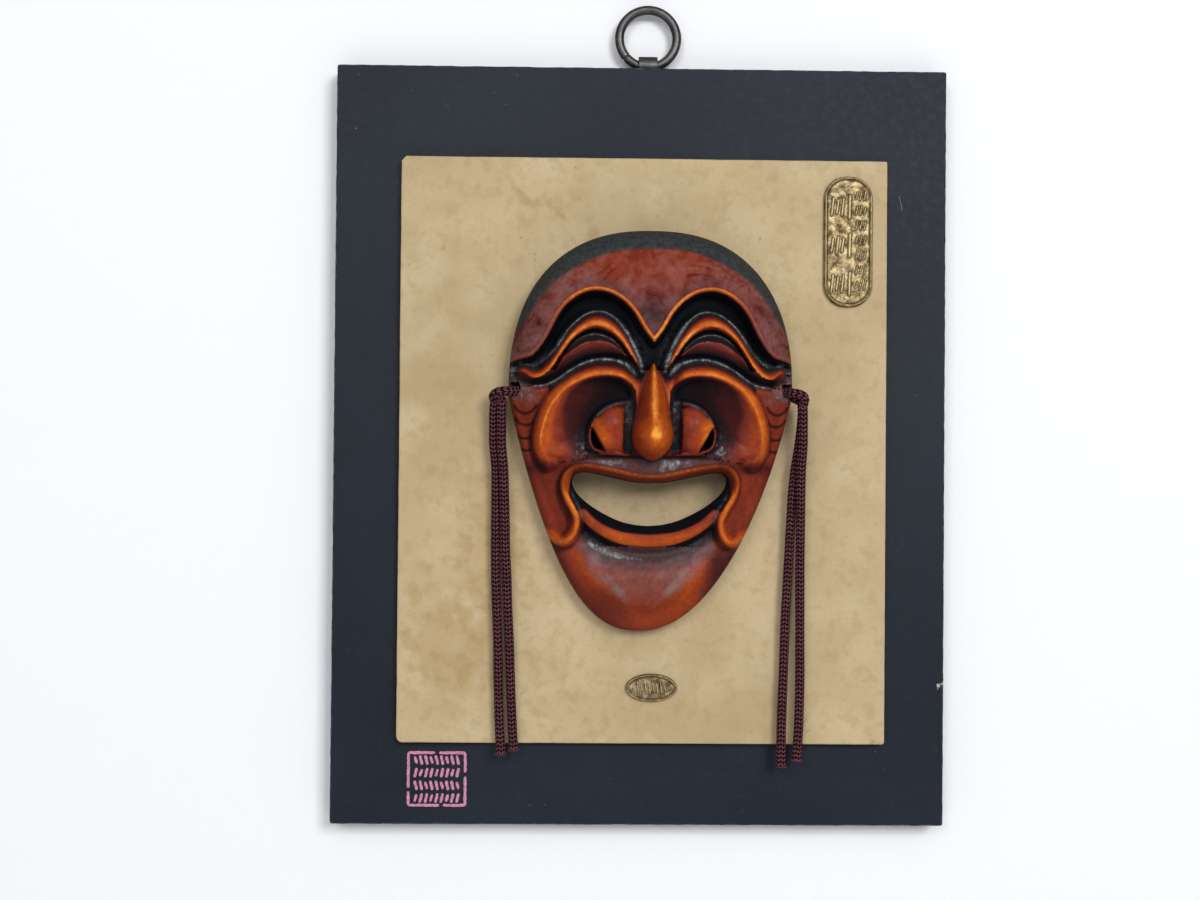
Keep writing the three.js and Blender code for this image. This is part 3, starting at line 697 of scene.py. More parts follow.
def cloudy(x, y, cell, seed):
    # smooth seeded noise between -1 and 1
    table = np.random.default_rng(seed).uniform(-1, 1, (64, 64))
    turn = 0.7 + seed
    u = (x * math.cos(turn) - y * math.sin(turn)) / cell + 32
    v = (x * math.sin(turn) + y * math.cos(turn)) / cell + 32
    i, j = np.floor(u).astype(int), np.floor(v).astype(int)
    s, t = smooth(u - i, 0, 1), smooth(v - j, 0, 1)
    i, j = i % 63, j % 63
    return mix(mix(table[i, j], table[i + 1, j], s), mix(table[i, j + 1], table[i + 1, j + 1], s), t)


def grainLines(x, y, near):
    # fine wavy lines across the forehead, 0 between them and 1 on them
    wave = near["hairline"] + 3.0 * cloudy(x, y, 12, 13) + 0.8 * cloudy(x, y, 3.4, 14)
    onForehead = smooth(near["browEdge"], -1.5, -3) * smooth(near["hairline"], 0, -1)
    return smooth(np.sin(wave * 2 * math.pi / 3.1), 0.8, 1) * smooth(cloudy(x, y, 7, 15), 0.0, 0.5) * onForehead


def maskFront(x, y):
    edge = towardsEdge(x, y)
    dome = mask["rim"] + (mask["face"] - mask["rim"]) * (1 - edge) ** 0.4
    wander = cloudy(x, y, 6, 11) * 0.12 + cloudy(x, y, 1.9, 12) * 0.05
    wander = wander - 0.12 * grainLines(x, y, survey(np.abs(x), y))
    return dome + (carving(x, y) + wander) * smooth(1 - edge, 0, 0.16)


def squareGrid(columns, rows):
    return np.meshgrid(np.linspace(-1, 1, columns + 1), np.linspace(-1, 1, rows + 1))


def onDisk(p, q):
    # a square's grid laid over a disk
    return p * np.sqrt(1 - q * q / 2), q * np.sqrt(1 - p * p / 2)


def closedBody(name, x, y, z, base, sharpAngle=None):
    # a body with a grid of points on top, an upright edge and a flat base
    top = np.stack([x, y, z], -1).reshape(-1, 3)
    at = np.arange(len(top)).reshape(x.shape)
    faces = np.stack([at[:-1, :-1], at[:-1, 1:], at[1:, 1:], at[1:, :-1]], -1).reshape(-1, 4).tolist()
    edge = [int(i) for i in (*at[0, :-1], *at[:-1, -1], *at[-1, :0:-1], *at[:0:-1, 0])]
    under = top[edge] * (1, 1, 0) + (0, 0, base)
    count, first = len(edge), len(top)
    faces += [(first + i, first + (i + 1) % count, edge[(i + 1) % count], edge[i]) for i in range(count)]
    faces.append([first + i for i in reversed(range(count))])
    return newMesh(name, np.concatenate([top, under]), faces, sharpAngle)


def domed(name, columns, rows, inset, base, height):
    # a closed body over the mask's outline
    diskX, diskY = onDisk(*squareGrid(columns, rows))
    y = mix(mask["bottom"], mask["top"], (diskY + 1) / 2)
    wide = np.sqrt(np.maximum(1 - diskY ** 2, 1e-4))
    x = diskX / wide * halfWidth(np.clip(y, mask["bottom"] + 0.01, mask["top"] - 0.01))
    inwards = 1 - inset / mask["halfWidth"], 1 - inset / mask["top"]
    return closedBody(name, x * inwards[0], y * inwards[1], height(x, y), base)


def prism(name, outline, low, high):
    points = [(x, y, z) for z in (low, high) for x, y in outline]
    return newMesh(name, points, sleeve(2, len(outline), capped=True))


def moved(piece, offset):
    piece.data.transform(Matrix.Translation(Vector(standUp(offset))))
    return piece


def carvedMask():
    base = boxOf("theatre_mask")[0][2]
    body = domed("carved_mask", mask["columns"], mask["rows"], 0, 0, maskFront)
    hollow = lambda x, y: 1 + (mask["hollow"] - 1) * (1 - towardsEdge(x, y)) ** 0.45 + cloudy(x, y, 7, 5) * 0.25
    combine(body, domed("hollow", 60, 84, mask["edge"], -1, hollow))
    half = lines["mouthLine"]
    outline = np.concatenate([half[::-1], half[1:-1] * (-1, 1)])
    combine(body, prism("mouth", outline, -2, 60))
    hole = mask["hole"]
    for side in (-1, 1):
        away = np.array([side * math.cos(hole["lean"]), 0, math.sin(hole["lean"])]) * 8
        for depth in hole["depths"]:
            centre = np.array([side * hole["x"], hole["y"], depth])
            drill(body, centre - away, centre + away, np.full((5, 24), hole["radius"]))
    points = pointsOf(body)
    tones = paintMask(points)
    points[:, 0] += leanAt(points[:, 1])
    body.data.vertices.foreach_set("co", standUp(points + [mask["x"], mask["y"], base]).ravel())
    for name, values in tones.items():
        setAttribute(body, name, values)
    return shade(body, 50)


def reliefAt(x, y):
    # the carving against its own blurred copy: positive where it stands out, negative where it lies deep
    step = 0.4
    xs, ys = np.arange(-48, 48.01, step), np.arange(-68, 68.01, step)
    height = carving(*np.meshgrid(xs, ys))
    found = []
    for radius in (2, 6):
        values = height
        for axis in (0, 1):
            for _ in range(3):
                padded = np.pad(values, [(radius, radius) if k == axis else (0, 0) for k in (0, 1)], mode="edge")
                total = np.cumsum(padded, axis=axis)
                upper = np.take(total, range(2 * radius, total.shape[axis]), axis=axis)
                lower = np.take(total, range(0, total.shape[axis] - 2 * radius), axis=axis)
                values = (upper - lower) / (2 * radius)
        found.append(sampler(height - values, xs, ys)(x, y))
    return found


def between(fromLine, toLine):
    # 0 on the first line and 1 on the second, from the distances to them
    return np.abs(fromLine) / np.maximum(np.abs(fromLine) + np.abs(toLine), 1e-6)


def paintMask(points):
    # how the finish lies on the carving, with painted shade and painted highlights in it. tone runs from blue-black
    # in the recesses, partly painted shade, through red-brown and orange to bright yellow on the rubbed ridges and
    # the painted highlight on the nose's tip; dust, patina and hair lie over it, and the patina also carries painted
    # highlights on the chin
    x, y, z = points.T
    side = np.abs(x)
    near = survey(side, y)
    names = "browEdge", "lidRidge", "dustLine", "lidSlit", "lidGroove", "cheekRim", "wingArc", "lipEdge", "chinRidge"
    below, lid, dusty, slit, groove, rim, wings, lip, facet = (near[name] for name in names)
    lipGroove, lipBand = near["lipGroove"], near["lipBand"]
    stands, broadly = reliefAt(x, y)
    brushed = 0.5 * cloudy(x, y, 3.1, 31) + 0.35 * cloudy(x, y, 1.1, 32) + 0.3 * cloudy(x, y, 7, 33)
    scratchy = mix(0.6, 1, smooth(cloudy(x, y, 0.7, 34) + 0.6 * cloudy(x, y, 2.2, 35), -0.6, 0.6))
    dust, patinaAndSheen = np.zeros(x.shape), np.zeros(x.shape)

    # the jaw's flaps and the temples, then the forehead
    tone = 0.59 + 0.05 * brushed
    outer = outsideRim(side, y, near)
    tone = mix(tone, 0.6 + 0.03 * brushed, outer)
    tone = tone - 0.34 * bump(scaleArcs(side, y) / 0.4) * outer * (rim < -3)
    forehead = smooth(below, 0.2, -0.4)
    tone = mix(tone, 0.65 + 0.08 * brushed - 0.2 * grainLines(x, y, near) - 0.17 * smooth(side, 14, 40), forehead)
    greyed = 0.2 + 0.45 * brushed + 0.15 * smooth(below, -6, -2)
    patinaAndSheen = np.maximum(patinaAndSheen, forehead * np.clip(greyed, 0, 0.8))
    vee = np.maximum(bump(np.hypot(x / 10, (y - 34) / 9)), 0.55 * smooth(below, -6, -2) * smooth(side, 34, 14))
    tone, patinaAndSheen = mix(tone, 0.3, 0.85 * vee * forehead), patinaAndSheen * (1 - 0.5 * vee * forehead)
    dust = np.maximum(dust, 0.2 * vee * forehead)
    browLine = smooth(below, -1.25, -0.85) * smooth(below, 0.3, 0)
    tone = mix(tone, mix(0.87, 0.6, smooth(side, 22, 35)), browLine)
    patinaAndSheen, dust = mix(patinaAndSheen, 0.06 + 0.28 * smooth(side, 24, 35), browLine), dust * (1 - browLine)

    # the eye: black under the brow, dusty line, orange lid, a slit painted black as its shadow, dark eyelid, dusty
    # groove
    eye = (below > 0.3) & (groove > 0) & (y > 14)
    toDust = between(np.maximum(lid, 0), dusty)
    aboveLid = np.interp(toDust, [0, 0.2, 0.38, 0.6, 0.85], [0.86, 0.83, 0.58, 0.32, 0.12])
    aboveLid = np.where(dusty > 0, 0.0, aboveLid)
    # painted shadow: under the lid the tone falls to near black towards the slit
    underLid = mix(0.86, 0.02, smooth(between(lid, np.maximum(slit, 0)), 0.34, 0.56))
    eyelid = mix(0.06, 0.5, smooth(groove, 0.6, 5.0))
    low = near["eyelidTop"] < 0
    lidTone = np.where(lid > 0, aboveLid, np.where(low, eyelid, np.where(slit > 0, underLid, 0.1)))
    tone = np.where(eye, lidTone, tone)
    onLid = eye & (lid < 0)
    tone = np.where(eye, tone * (1 - 0.22 * smooth(side, 35, 41)), tone)
    tone = np.where(onLid, np.maximum(tone, 0.72 * bump(near["eyelidTop"] / 0.22)), tone)
    ends = np.maximum(smooth(np.abs(side - 17), 8, 15), 0.6 * smooth(side, 13, 8))
    inner = smooth(side, 13, 7)
    strength = mix(1.1, mix(0.7, 1.1, inner), ends) * (below > 0.8)
    dust = np.maximum(dust, bump(dusty / mix(0.34, 0.9, ends)) * strength)
    dust = np.maximum(dust, 0.3 * smooth(toDust, 0.62, 0.9) * (dusty < 0) * eye * (lid > 0))
    dust = np.maximum(dust, 1.0 * bump(slit / 0.3) * onLid * smooth(side, 28, 24) * smooth(side, 8, 11))
    dust = np.maximum(dust, 1.15 * bump((groove + 0.1) / mix(0.4, 0.9, inner)) * smooth(side, 4, 7))
    dust = np.maximum(dust, 0.45 * smooth(groove, 0.8, 0) * smooth(groove, -2.2, -0.6) * smooth(side, 4, 7))
    byRoot = bump(np.hypot((side - 5.2) / 2.8, (y - 24) / 7)) * smooth(below, 0.6, 1.6)
    dust = np.maximum(dust, (0.3 + 0.4 * cloudy(x, y, 1.1, 42)) * byRoot * (lid > 0.4))

    # the cheek: an orange band on both sides of the rim, bright along its crest, round a dark bowl
    outRim = (rim < 0) & (groove < 0) & (y > -13)
    fromGroove = np.interp(between(groove, rim), [0, 0.28, 0.5, 0.68, 0.85], [0.12, 0.16, 0.42, 0.68, 0.83])
    tone = np.where(outRim & (side < 33) & (y > 8), fromGroove, tone)
    band = smooth(rim, -3.2, -0.7) * outRim * smooth(side, 27, 32) * smooth(y, -13, -10)
    tone = mix(tone, 0.8, band)
    tone = mix(tone, 0.42, 0.5 * bump((rim + 3.0) / 0.5) * outer)
    inBand = mix(0.5, 2.3, smooth(side - 0.55 * y, 13, 33)) * mix(1, 1.75, smooth(y, 9, -3))
    bowl = mix(0.8, 0.64, smooth(rim / inBand, 0.5, 1.3)) - 0.3 * smooth(rim / inBand, 1.0, 2.8) + 0.06 * brushed
    bowl = bowl * mix(0.25, 1, smooth(-wings, 0.3, 7)) * mix(0.5, 1, smooth(side - 0.3 * y, 9, 19))
    bowl = mix(bowl, 0.66, smooth(y, -3, -8) * smooth(side, 25, 31))
    tone = np.where(rim > 0, bowl, tone)
    crest = 0.85 * bump((rim - 0.1) / 0.3) * smooth(side, 6, 9) * smooth(y, -9, -3)
    tone = mix(tone, np.maximum(tone, 0.91), crest)
    # painted shadow: a soft dark band along the crease under the cheek, above the jaw's flap
    creaseShadow = bump((y + 11.8 + 0.12 * (side - 30)) / 2.2) * smooth(side, 20, 23) * smooth(side, 43, 37) * (rim < 0)
    tone = mix(tone, 0.34, 0.7 * creaseShadow)
    temple = smooth(below, 0.6, 2.5) * smooth(side, 34, 39) * smooth(y, 6.5, 9.5) * (lid > -9)
    dust = np.maximum(dust, temple * 0.6 * (1 - smooth(lid, -3.4, -1.2) * smooth(lid, 3, 1)))

    # the wings and the nose
    inWing = smooth(wings, -0.1, 0.2)
    cut = besideCut(side, y)
    # painted light: the ball's outer, lower side, towards the nostril, is painted a lighter orange as its lit side
    wingTone = mix(0.6, 0.81, smooth(cut, -7, -1.5) * smooth(y, 6.5, 0.5) * smooth(y, -7.5, -4)) + 0.05 * brushed
    wingTone = mix(wingTone, 0.0, smooth(cut, -0.15, 0.2))
    wingTone = mix(wingTone, 0.64, smooth(wings, 0.75, 0.45) * smooth(cut, 0, 0.6))
    wingTone = np.where((cut < 0) & (y > 3), mix(0.42, wingTone, smooth(wings, 0.3, 2.2)), wingTone)
    wingTone = mix(wingTone, 0.5, 0.7 * smooth(side, 10.6, 9))
    tone = mix(tone, wingTone, inWing)
    dust = dust * (1 - inWing)
    dust = np.maximum(dust, 0.65 * bump((wings - 0.1) / 0.4) * smooth(y, 0, 3))
    half = noseHalf(y)
    stripFrom, stripTo = wing["strip"]
    beside = smooth(side, stripFrom - 0.2, stripFrom + 0.2) * smooth(side, stripTo + 0.3, stripTo - 0.3)
    beside = beside * smooth(y, 9, 8) * smooth(y, -7.8, -7.2)
    tone, dust = mix(tone, 0.12, beside), np.maximum(dust, (0.4 + 0.35 * cloudy(x, y, 1.3, 38)) * beside)
    isNose = smooth(half + 0.15 - side, 0, 0.4) * smooth(y, 21.5, 20) * smooth(y, -10.4, -9.8)
    off = side / np.maximum(half, 0.1)
    ridge = mix(0.89, 0.71, smooth(off, 0.08, 0.42)) - 0.1 * smooth(off, 0.6, 1) + 0.05 * brushed
    # painted highlight: a bright spot on the nose's tip, right of its middle; the tip's sides and underside are
    # painted darker
    bulb = 0.79 + 0.14 * bump(np.hypot((x - 0.5) / 1.8, (y + 2.4) / 2.9) ** 2) - 0.12 * smooth(off, 0.35, 1.0)
    bulb = bulb - 0.06 * smooth(-y, 5, 9) + 0.025 * brushed
    tone = mix(tone, mix(ridge, bulb, smooth(-y, -5.5, -0.5)), isNose)
    dust = dust * (1 - isNose)
    patinaAndSheen = patinaAndSheen * (1 - isNose)

    # between nose and lip: a painted shadow line under the wings, then dust with upright streaks
    strip = smooth(y, -8.2, -9.2) * (lip < 0) * smooth(side, 25, 19) * (1 - isNose) * (1 - inWing)
    streak = smooth(cloudy(x, y, 1.6, 36) + 0.5 * cloudy(x, y, 4, 37), -0.6, 0.5)
    corners = bump(np.hypot((side - 22) / 3, (y + 7) / 4.4)) * smooth(wings, -0.2, -0.6)
    corners = corners * (0.25 + 0.75 * smooth(cloudy(x, y, 0.8, 40), -0.4, 0.6))
    byWing = bump(np.hypot((side - 22) / 4.5, (y + 8) / 3.6)) * (1 - inWing) * (1 - isNose) * (lip < 0)
    tone, dust = mix(tone, 0.44, 0.75 * byWing), np.maximum(dust, 0.22 * byWing)
    streak = (0.25 + 0.75 * streak) * np.maximum(bump((x + 14) / 6), bump((x - 7.5) / 6))
    # painted shadow: near black just under the wings, lighter lower down
    tone = mix(tone, mix(0.15, 0.42, smooth(y, -9, -10.5)), strip)
    patinaAndSheen = np.maximum(patinaAndSheen, strip * 0.3 * smooth(y, -9, -11))
    streaky = strip * (0.2 + 0.95 * streak) * smooth(y, -9.2, -10.2) * smooth(lip, -0.9, -2.6)
    dust = np.maximum(np.maximum(dust, corners), streaky)

    # the chin: painted highlights along its facets, haze and dust under the lower lip's orange band
    chinSide = lip > 0
    chinTone = mix(0.69, 0.58, smooth(facet, -1, 2.5)) + 0.07 * brushed + 0.1 * bump((facet + 2.5) / 2.2)
    chinTone = mix(chinTone, 0.68, smooth(y, -46, -57) * smooth(side, 19, 9))
    chinTone = mix(chinTone, 0.2, 0.9 * smooth(lipGroove, 7, 1.5) * smooth(side, 25, 18))
    chinTone = mix(chinTone, 0.36, smooth(x, 17, 24) * smooth(y, -36, -42))
    chinTone = mix(chinTone, 0.47, 0.8 * smooth(towardsEdge(x, y), 0.84, 0.97) * smooth(-x, -4, 14))
    # painted highlight: pale pink bands along the chin's two facet ridges, laid in with the patina colour
    rubbed = bump((facet - 0.4) / mix(1.2, 2.6, smooth(y, -57, -44))) * smooth(y, -58, -51)
    rubbed = rubbed * (0.8 + 0.35 * cloudy(x, y, 2.6, 39) + 0.2 * cloudy(x, y, 1.1, 41))
    rosy = 0.3 * smooth(facet, -0.5, 3) * smooth(y, -60, -50)
    underBand = smooth(lipBand - 0.9 * smooth(side, 17, 4), 3.0, 4.2)
    hazy = 0.17 * smooth(lipGroove, 7.5, 3) * smooth(lipGroove, 0.8, 2) * smooth(side, 25, 18) * underBand
    patinaAndSheen = mix(patinaAndSheen, np.maximum(np.maximum(rubbed, rosy), hazy), chinSide * smooth(y, -33, -38))
    groovePart = np.maximum(0.75 * bump(lipGroove / 1.2), 1 - underBand) * smooth(side, 24, 18)
    chinTone = mix(chinTone, 0.04, groovePart)
    bandHalf = mix(2.1, 1.6, smooth(side, 4, 21))
    onBand = smooth(lipBand / bandHalf, 1.15, 0.85)
    above = (y > -34.4 + 0.016 * side ** 2) & (lipGroove > 3.2)
    chinTone = np.where(above, chinTone * 0.05, chinTone)
    bandTone = mix(0.66, 0.82, smooth(lipGroove, 5.6, 3.4)) - 0.06 * smooth(side, 8, 18)
    chinTone = mix(chinTone, bandTone, onBand)
    patinaAndSheen = patinaAndSheen * (1 - onBand * chinSide)
    tone = np.where(chinSide, chinTone, tone)
    gathered = bump((lipGroove - 1.7) / mix(0.7, 1.3, smooth(-x, 2, 14))) * mix(0.35, 1.05, smooth(-x, -8, 12))
    spread = 0.14 + 0.3 * smooth(side, 6, 16)
    gathered = np.maximum(gathered, spread * smooth(lipGroove, 8, 3)) * smooth(side, 24, 16) * underBand
    dust = np.where(chinSide, gathered * (1 - onBand), dust)
    dust = np.maximum(dust, 0.6 * bump((lip - 1.9) / 0.5) * chinSide * smooth(y, -33, -28) * smooth(y, -18, -22))

    # the orange bead round the mouth
    upper = smooth(y, -21, -18)
    bead = smooth(np.abs(lip), mix(1.3, 2.0, upper), mix(0.7, 1.1, upper))
    tone = mix(tone, mix(mix(0.84, 0.76, upper), 0.8, smooth(-y, 24, 34)), bead)
    tone = mix(tone, 0.72, smooth(lip, -3.4, -1.4) * (lip < -1) * smooth(-y, 27, 31))
    tone = mix(tone, 0.3, 0.5 * bump((lip + 1.7) / 0.4) * smooth(-y, 24, 20) * smooth(side, 12, 18))
    dust, patinaAndSheen = dust * (1 - bead), patinaAndSheen * (1 - bead)

    # painted shade: deep places are painted darker; proud ones lighten, whatever the zone
    tone = tone + 0.07 * smooth(stands, 0.1, 0.7) * (tone > 0.3)
    # painted light: the cheek's foot is painted an even mid tone and kept out of the painted shade, to soften the
    # dark line that the carving shades there
    cheekFoot = bump(np.hypot((side - 26) / 7, (y + 10.6) / 1.8)) * (1 - inWing)
    tone = mix(tone, 0.55, 0.5 * cheekFoot)
    recessShadeShare = 1 - np.maximum(np.maximum(0.8 * isNose, 0.75 * chinSide * smooth(y, -37, -41)), cheekFoot)
    tone = tone * (1 - 0.3 * recessShadeShare * smooth(-stands, 0.25, 0.9)) * (1 - 0.2 * recessShadeShare * smooth(-broadly, 1.2, 3.2))
    dust = dust * scratchy
    hair = smooth(near["hairline"], -0.35, 0.35) * smooth(y, 30, 34)
    front = smooth(z, maskFront(x, y) - 0.8, maskFront(x, y) - 0.25)
    gloss = 0.1 * smooth(tone, 0.3, 0.7) * (1 - 0.6 * forehead) + 0.05 * isNose + 0.04 * inWing
    gloss = mix(gloss, 0.09, chinSide * smooth(y, -37, -41)) * (1 - smooth(dust, 0.05, 0.4)) * (1 - 0.85 * hair)
    return {"tone": np.clip(tone, 0, 1), "dust": dust, "patinaAndSheen": np.clip(patinaAndSheen, 0, 1) * (1 - hair), "hair": hair,
            "gloss": gloss * front, "bare": 1 - front}


lacquerColours = {
    # tone: colour; the brightest stops also colour the painted highlight on the nose's tip
    "tones": [(0.0, (0.004, 0.005, 0.0075)), (0.2, (0.014, 0.0055, 0.0065)), (0.38, (0.052, 0.0085, 0.008)),
              (0.56, (0.145, 0.021, 0.012)), (0.7, (0.26, 0.037, 0.0095)), (0.84, (0.43, 0.074, 0.009)),
              (0.93, (0.62, 0.175, 0.02)), (1.0, (0.8, 0.35, 0.05))],
    "dust": ((0.075, 0.086, 0.092), (0.29, 0.32, 0.335)), "patinaAndSheen": (0.22, 0.12, 0.115), "bare": (0.03, 0.017, 0.013),
    "hair": ((0.0175, 0.021, 0.022), (0.052, 0.056, 0.056)),
}


def lacquerMaterial():
    material, tree, shader = newMaterial("lacquer", Specular_IOR_Level=0.06, Coat_Roughness=0.24)
    mottle, fine, speck = noise(tree, 95, 4, 0.6), noise(tree, 620, 4, 0.65), noise(tree, 2300, 2, 0.6)
    dust, gloss, tone = painted(tree, "dust"), painted(tree, "gloss"), painted(tree, "tone")
    varied = maths(tree, "ADD", tone, remap(tree, mottle, 0.3, 0.7, -0.035, 0.035))
    varied = maths(tree, "ADD", varied, remap(tree, fine, 0.3, 0.7, -0.045, 0.045))
    ramp = node(tree, "ValToRGB", {"Fac": varied})
    stops = ramp.color_ramp.elements
    for place, _ in lacquerColours["tones"][1:-1]:
        stops.new(place)
    for stop, (place, colour) in zip(stops, lacquerColours["tones"]):
        stop.position, stop.color = place, (*colour, 1)
    colour = blend(tree, maths(tree, "MULTIPLY", painted(tree, "patinaAndSheen"), remap(tree, fine, 0.3, 0.6, 0.6, 1.1)),
                   ramp.outputs[0], lacquerColours["patinaAndSheen"])
    streaks = noise(tree, 1500, 2, 0.6, (1, 1, 0.16))
    dusty = maths(tree, "MULTIPLY", dust, remap(tree, speck, 0.35, 0.6, 0.55, 1.1))
    dusty = maths(tree, "MULTIPLY", dusty, remap(tree, streaks, 0.35, 0.62, 0.4, 1.15))
    colour = blend(tree, dusty, colour, blend(tree, remap(tree, dust, 0.35, 0.85), *lacquerColours["dust"]))
    hair = blend(tree, remap(tree, fine, 0.3, 0.75), *lacquerColours["hair"])
    colour = blend(tree, painted(tree, "hair"), colour, hair)
    colour = blend(tree, painted(tree, "bare"), colour, lacquerColours["bare"])
    coat = maths(tree, "MULTIPLY", gloss, remap(tree, fine, 0.3, 0.6, 0.7, 1.0))
    tree.links.new(coat, shader.inputs["Coat Weight"])
    height = together(tree, fine, speck, 0.7)
    dress(tree, shader, colour, remap(tree, gloss, 0, 0.3, 0.75, 0.42), height, 0.35, 0.0002)
    return material


lacquer = lacquerMaterial()
maskPiece = carvedMask()
finishPiece(maskPiece, lacquer, replaced=["theatre_mask"])
print("mask carved", len(maskPiece.data.polygons), "faces")


# Flat pieces: slabs whose outline and edge are given as rings, with a little wear along them

def outlineOf(width, height, corners, step=1.0):
    # corners: (radius or cut, rounded) from bottom left anticlockwise
    x, y = width / 2, height / 2
    points = []
    signs = ((-1, -1), (1, -1), (1, 1), (-1, 1))
    for k, ((sx, sy), (size, isRound)) in enumerate(zip(signs, corners)):
        centre = np.array([sx * (x - size), sy * (y - size)])
        start = math.pi + k * math.pi / 2
        count = max(int(size * 1.6 / min(step, 0.4)), 4) if isRound else 2
        for a in np.linspace(start, start + math.pi / 2, count):
            spoke = np.array([math.cos(a), math.sin(a)])
            points.append(centre + size * (spoke if isRound else spoke.round()))
    spaced = []
    for a, b in zip(points, points[1:] + points[:1]):
        count = max(int(np.linalg.norm(b - a) / step), 1)
        spaced += [a + (b - a) * i / count for i in range(count)]
    return np.array(spaced)


def wornSlab(name, outline, profile, wear, seed, sharpAngle=50):
    # profile: (inset, z) from the back's edge round to the front's
    before, after = np.roll(outline, 1, axis=0), np.roll(outline, -1, axis=0)
    along = after - before
    normal = np.stack([along[:, 1], -along[:, 0]], -1)
    normal /= np.linalg.norm(normal, axis=1)[:, None]
    x, y = outline.T
    rings = []
    for level, (inset, z) in enumerate(profile):
        wave = cloudy(x + 3 * level, y, 2.2, seed) + 0.6 * cloudy(x, y, 7, seed + 1)
        eaten = wear * np.clip(wave + 0.4, 0, 2)
        shift = -(inset + eaten)[:, None] * normal
        rings.append(np.concatenate([outline + shift, np.full((len(outline), 1), z)], 1))
    return newMesh(name, np.concatenate(rings), sleeve(len(rings), len(outline), capped=True), sharpAngle)


def block(name, low, high):
    return prism(name, [(low[0], low[1]), (high[0], low[1]), (high[0], high[1]), (low[0], high[1])], low[2], high[2])


# The board: black paint over wood, with a pocket for the hanger in its back

board = {"corner": 0.8, "bevel": 0.5, "wear": 0.09,
         # the pocket's steps: how far each reaches down from the board's top edge, and how deep it goes
         "pocket": {"width": 8.2, "steps": ((21, 4.4), (2.6, 7.0))},
         "screwHoles": (10, 18), "holeRadius": 1.2, "ringCentre": (1.9, 127.0, 3.5),
         # x, y and size of each chip in the paint; the first three run together at the edge
         "chips": [(99.4, -78.6, 0.8), (100.4, -78.1, 0.55), (99.1, -79.7, 0.4), (-94.1, 121.6, 0.26),
                   (-76.3, 116.7, 0.22), (-94.5, 103.8, 0.3), (78.4, -100.6, 0.24), (81.3, -106.2, 0.2),
                   (-30.5, -118.4, 0.2), (62.0, 118.9, 0.18)],
         "chipTaper": np.array([[1.2], [1.1], [0.9], [0.4]]),
         "scratch": [(85.2, 83.4), (86.0, 80.6), (86.2, 78.4), (86.45, 78.4), (86.25, 80.6), (85.45, 83.4)]}


def blackPaint():
    material, tree, shader = newMaterial("blackPaint", Specular_IOR_Level=0.14)
    broad, fine, speck = noise(tree, 14, 4, 0.6), noise(tree, 420, 4, 0.7), noise(tree, 520, 1, 0.5, (1, 1, 1.6))
    colour = blend(tree, remap(tree, broad, 0.3, 0.7), (0.0085, 0.012, 0.0195), (0.0135, 0.018, 0.0275))
    colour = layer(tree, colour, (0.03, 0.036, 0.047), fine, 0.55, 0.8, 0.35)
    dustFall = maths(tree, "MULTIPLY", remap(tree, speck, 0.74, 0.8), remap(tree, broad, 0.5, 0.6))
    colour = blend(tree, maths(tree, "MULTIPLY", dustFall, 0.3), colour, (0.1, 0.11, 0.125))
    rubbed = maths(tree, "MULTIPLY", painted(tree, "worn"), remap(tree, fine, 0.4, 0.62))
    colour = blend(tree, rubbed, colour, (0.13, 0.125, 0.12))
    colour = blend(tree, painted(tree, "bright"), colour, (0.5, 0.48, 0.45))
    dress(tree, shader, colour, remap(tree, fine, 0.3, 0.7, 0.42, 0.56), fine, 0.25, 0.0001)
    return material


def backingBoard():
    low, high = boxOf("backing_board")
    width, height, thickness = high - low
    bevel = board["bevel"]
    outline = outlineOf(width, height, [(board["corner"], True)] * 4)
    cap = bevel + 0.15  # the wear ends here
    side = thickness - bevel - 0.7
    profile = [(cap, 0), (bevel, 0), (bevel * 0.3, bevel * 0.3), (0, bevel), (0, side), (0, thickness - bevel),
               (bevel * 0.3, thickness - bevel * 0.3), (bevel, thickness), (cap, thickness)]
    body = wornSlab("black_board", outline, profile, board["wear"], 21)
    ringX, ringY = board["ringCentre"][:2]
    halfPocket = board["pocket"]["width"] / 2
    for tall, floor in board["pocket"]["steps"]:
        corners = (ringX - halfPocket, high[1] - tall, -1), (ringX + halfPocket, high[1] + 1, floor)
        combine(body, block("pocket", *corners))
    for down in board["screwHoles"]:
        drill(body, (ringX, ringY - down, -1), (ringX, ringY - down, 8.5), np.full((3, 20), board["holeRadius"]))
    draw = np.random.default_rng(8)
    for chipX, chipY, size in board["chips"]:
        radii = size * draw.uniform(0.75, 1.15, (1, 10)) * board["chipTaper"]
        drill(body, (chipX, chipY, thickness + 1), (chipX, chipY, thickness - size), radii)
    combine(body, prism("scratch", board["scratch"], thickness - 0.1, thickness + 1))
    x, y, z = pointsOf(body).T
    edge = np.minimum(width / 2 - np.abs(x), height / 2 - np.abs(y))
    setAttribute(body, "worn", smooth(edge, cap - 0.02, 0.1) * smooth(z, side + 0.05, side + 0.6))
    bright = np.zeros(len(z))
    for chipX, chipY, size in board["chips"]:
        inChip = (np.hypot(x - chipX, y - chipY) < 1.6 * size) * (z < thickness - 0.1) * (z > side + 0.05)
        bright = np.maximum(bright, inChip)
    scratchX, scratchY = board["scratch"][1]
    inScratch = (np.hypot(x - scratchX, y - scratchY) < 4) * (z < thickness - 0.05)
    setAttribute(body, "bright", np.maximum(bright, 0.3 * inScratch))
    return finishPiece(shade(body, 40), blackPaintMaterial, replaced=["backing_board"])


blackPaintMaterial = blackPaint()
backingBoard()
print("board made")


# The panel: parchment-coloured paper with water stains

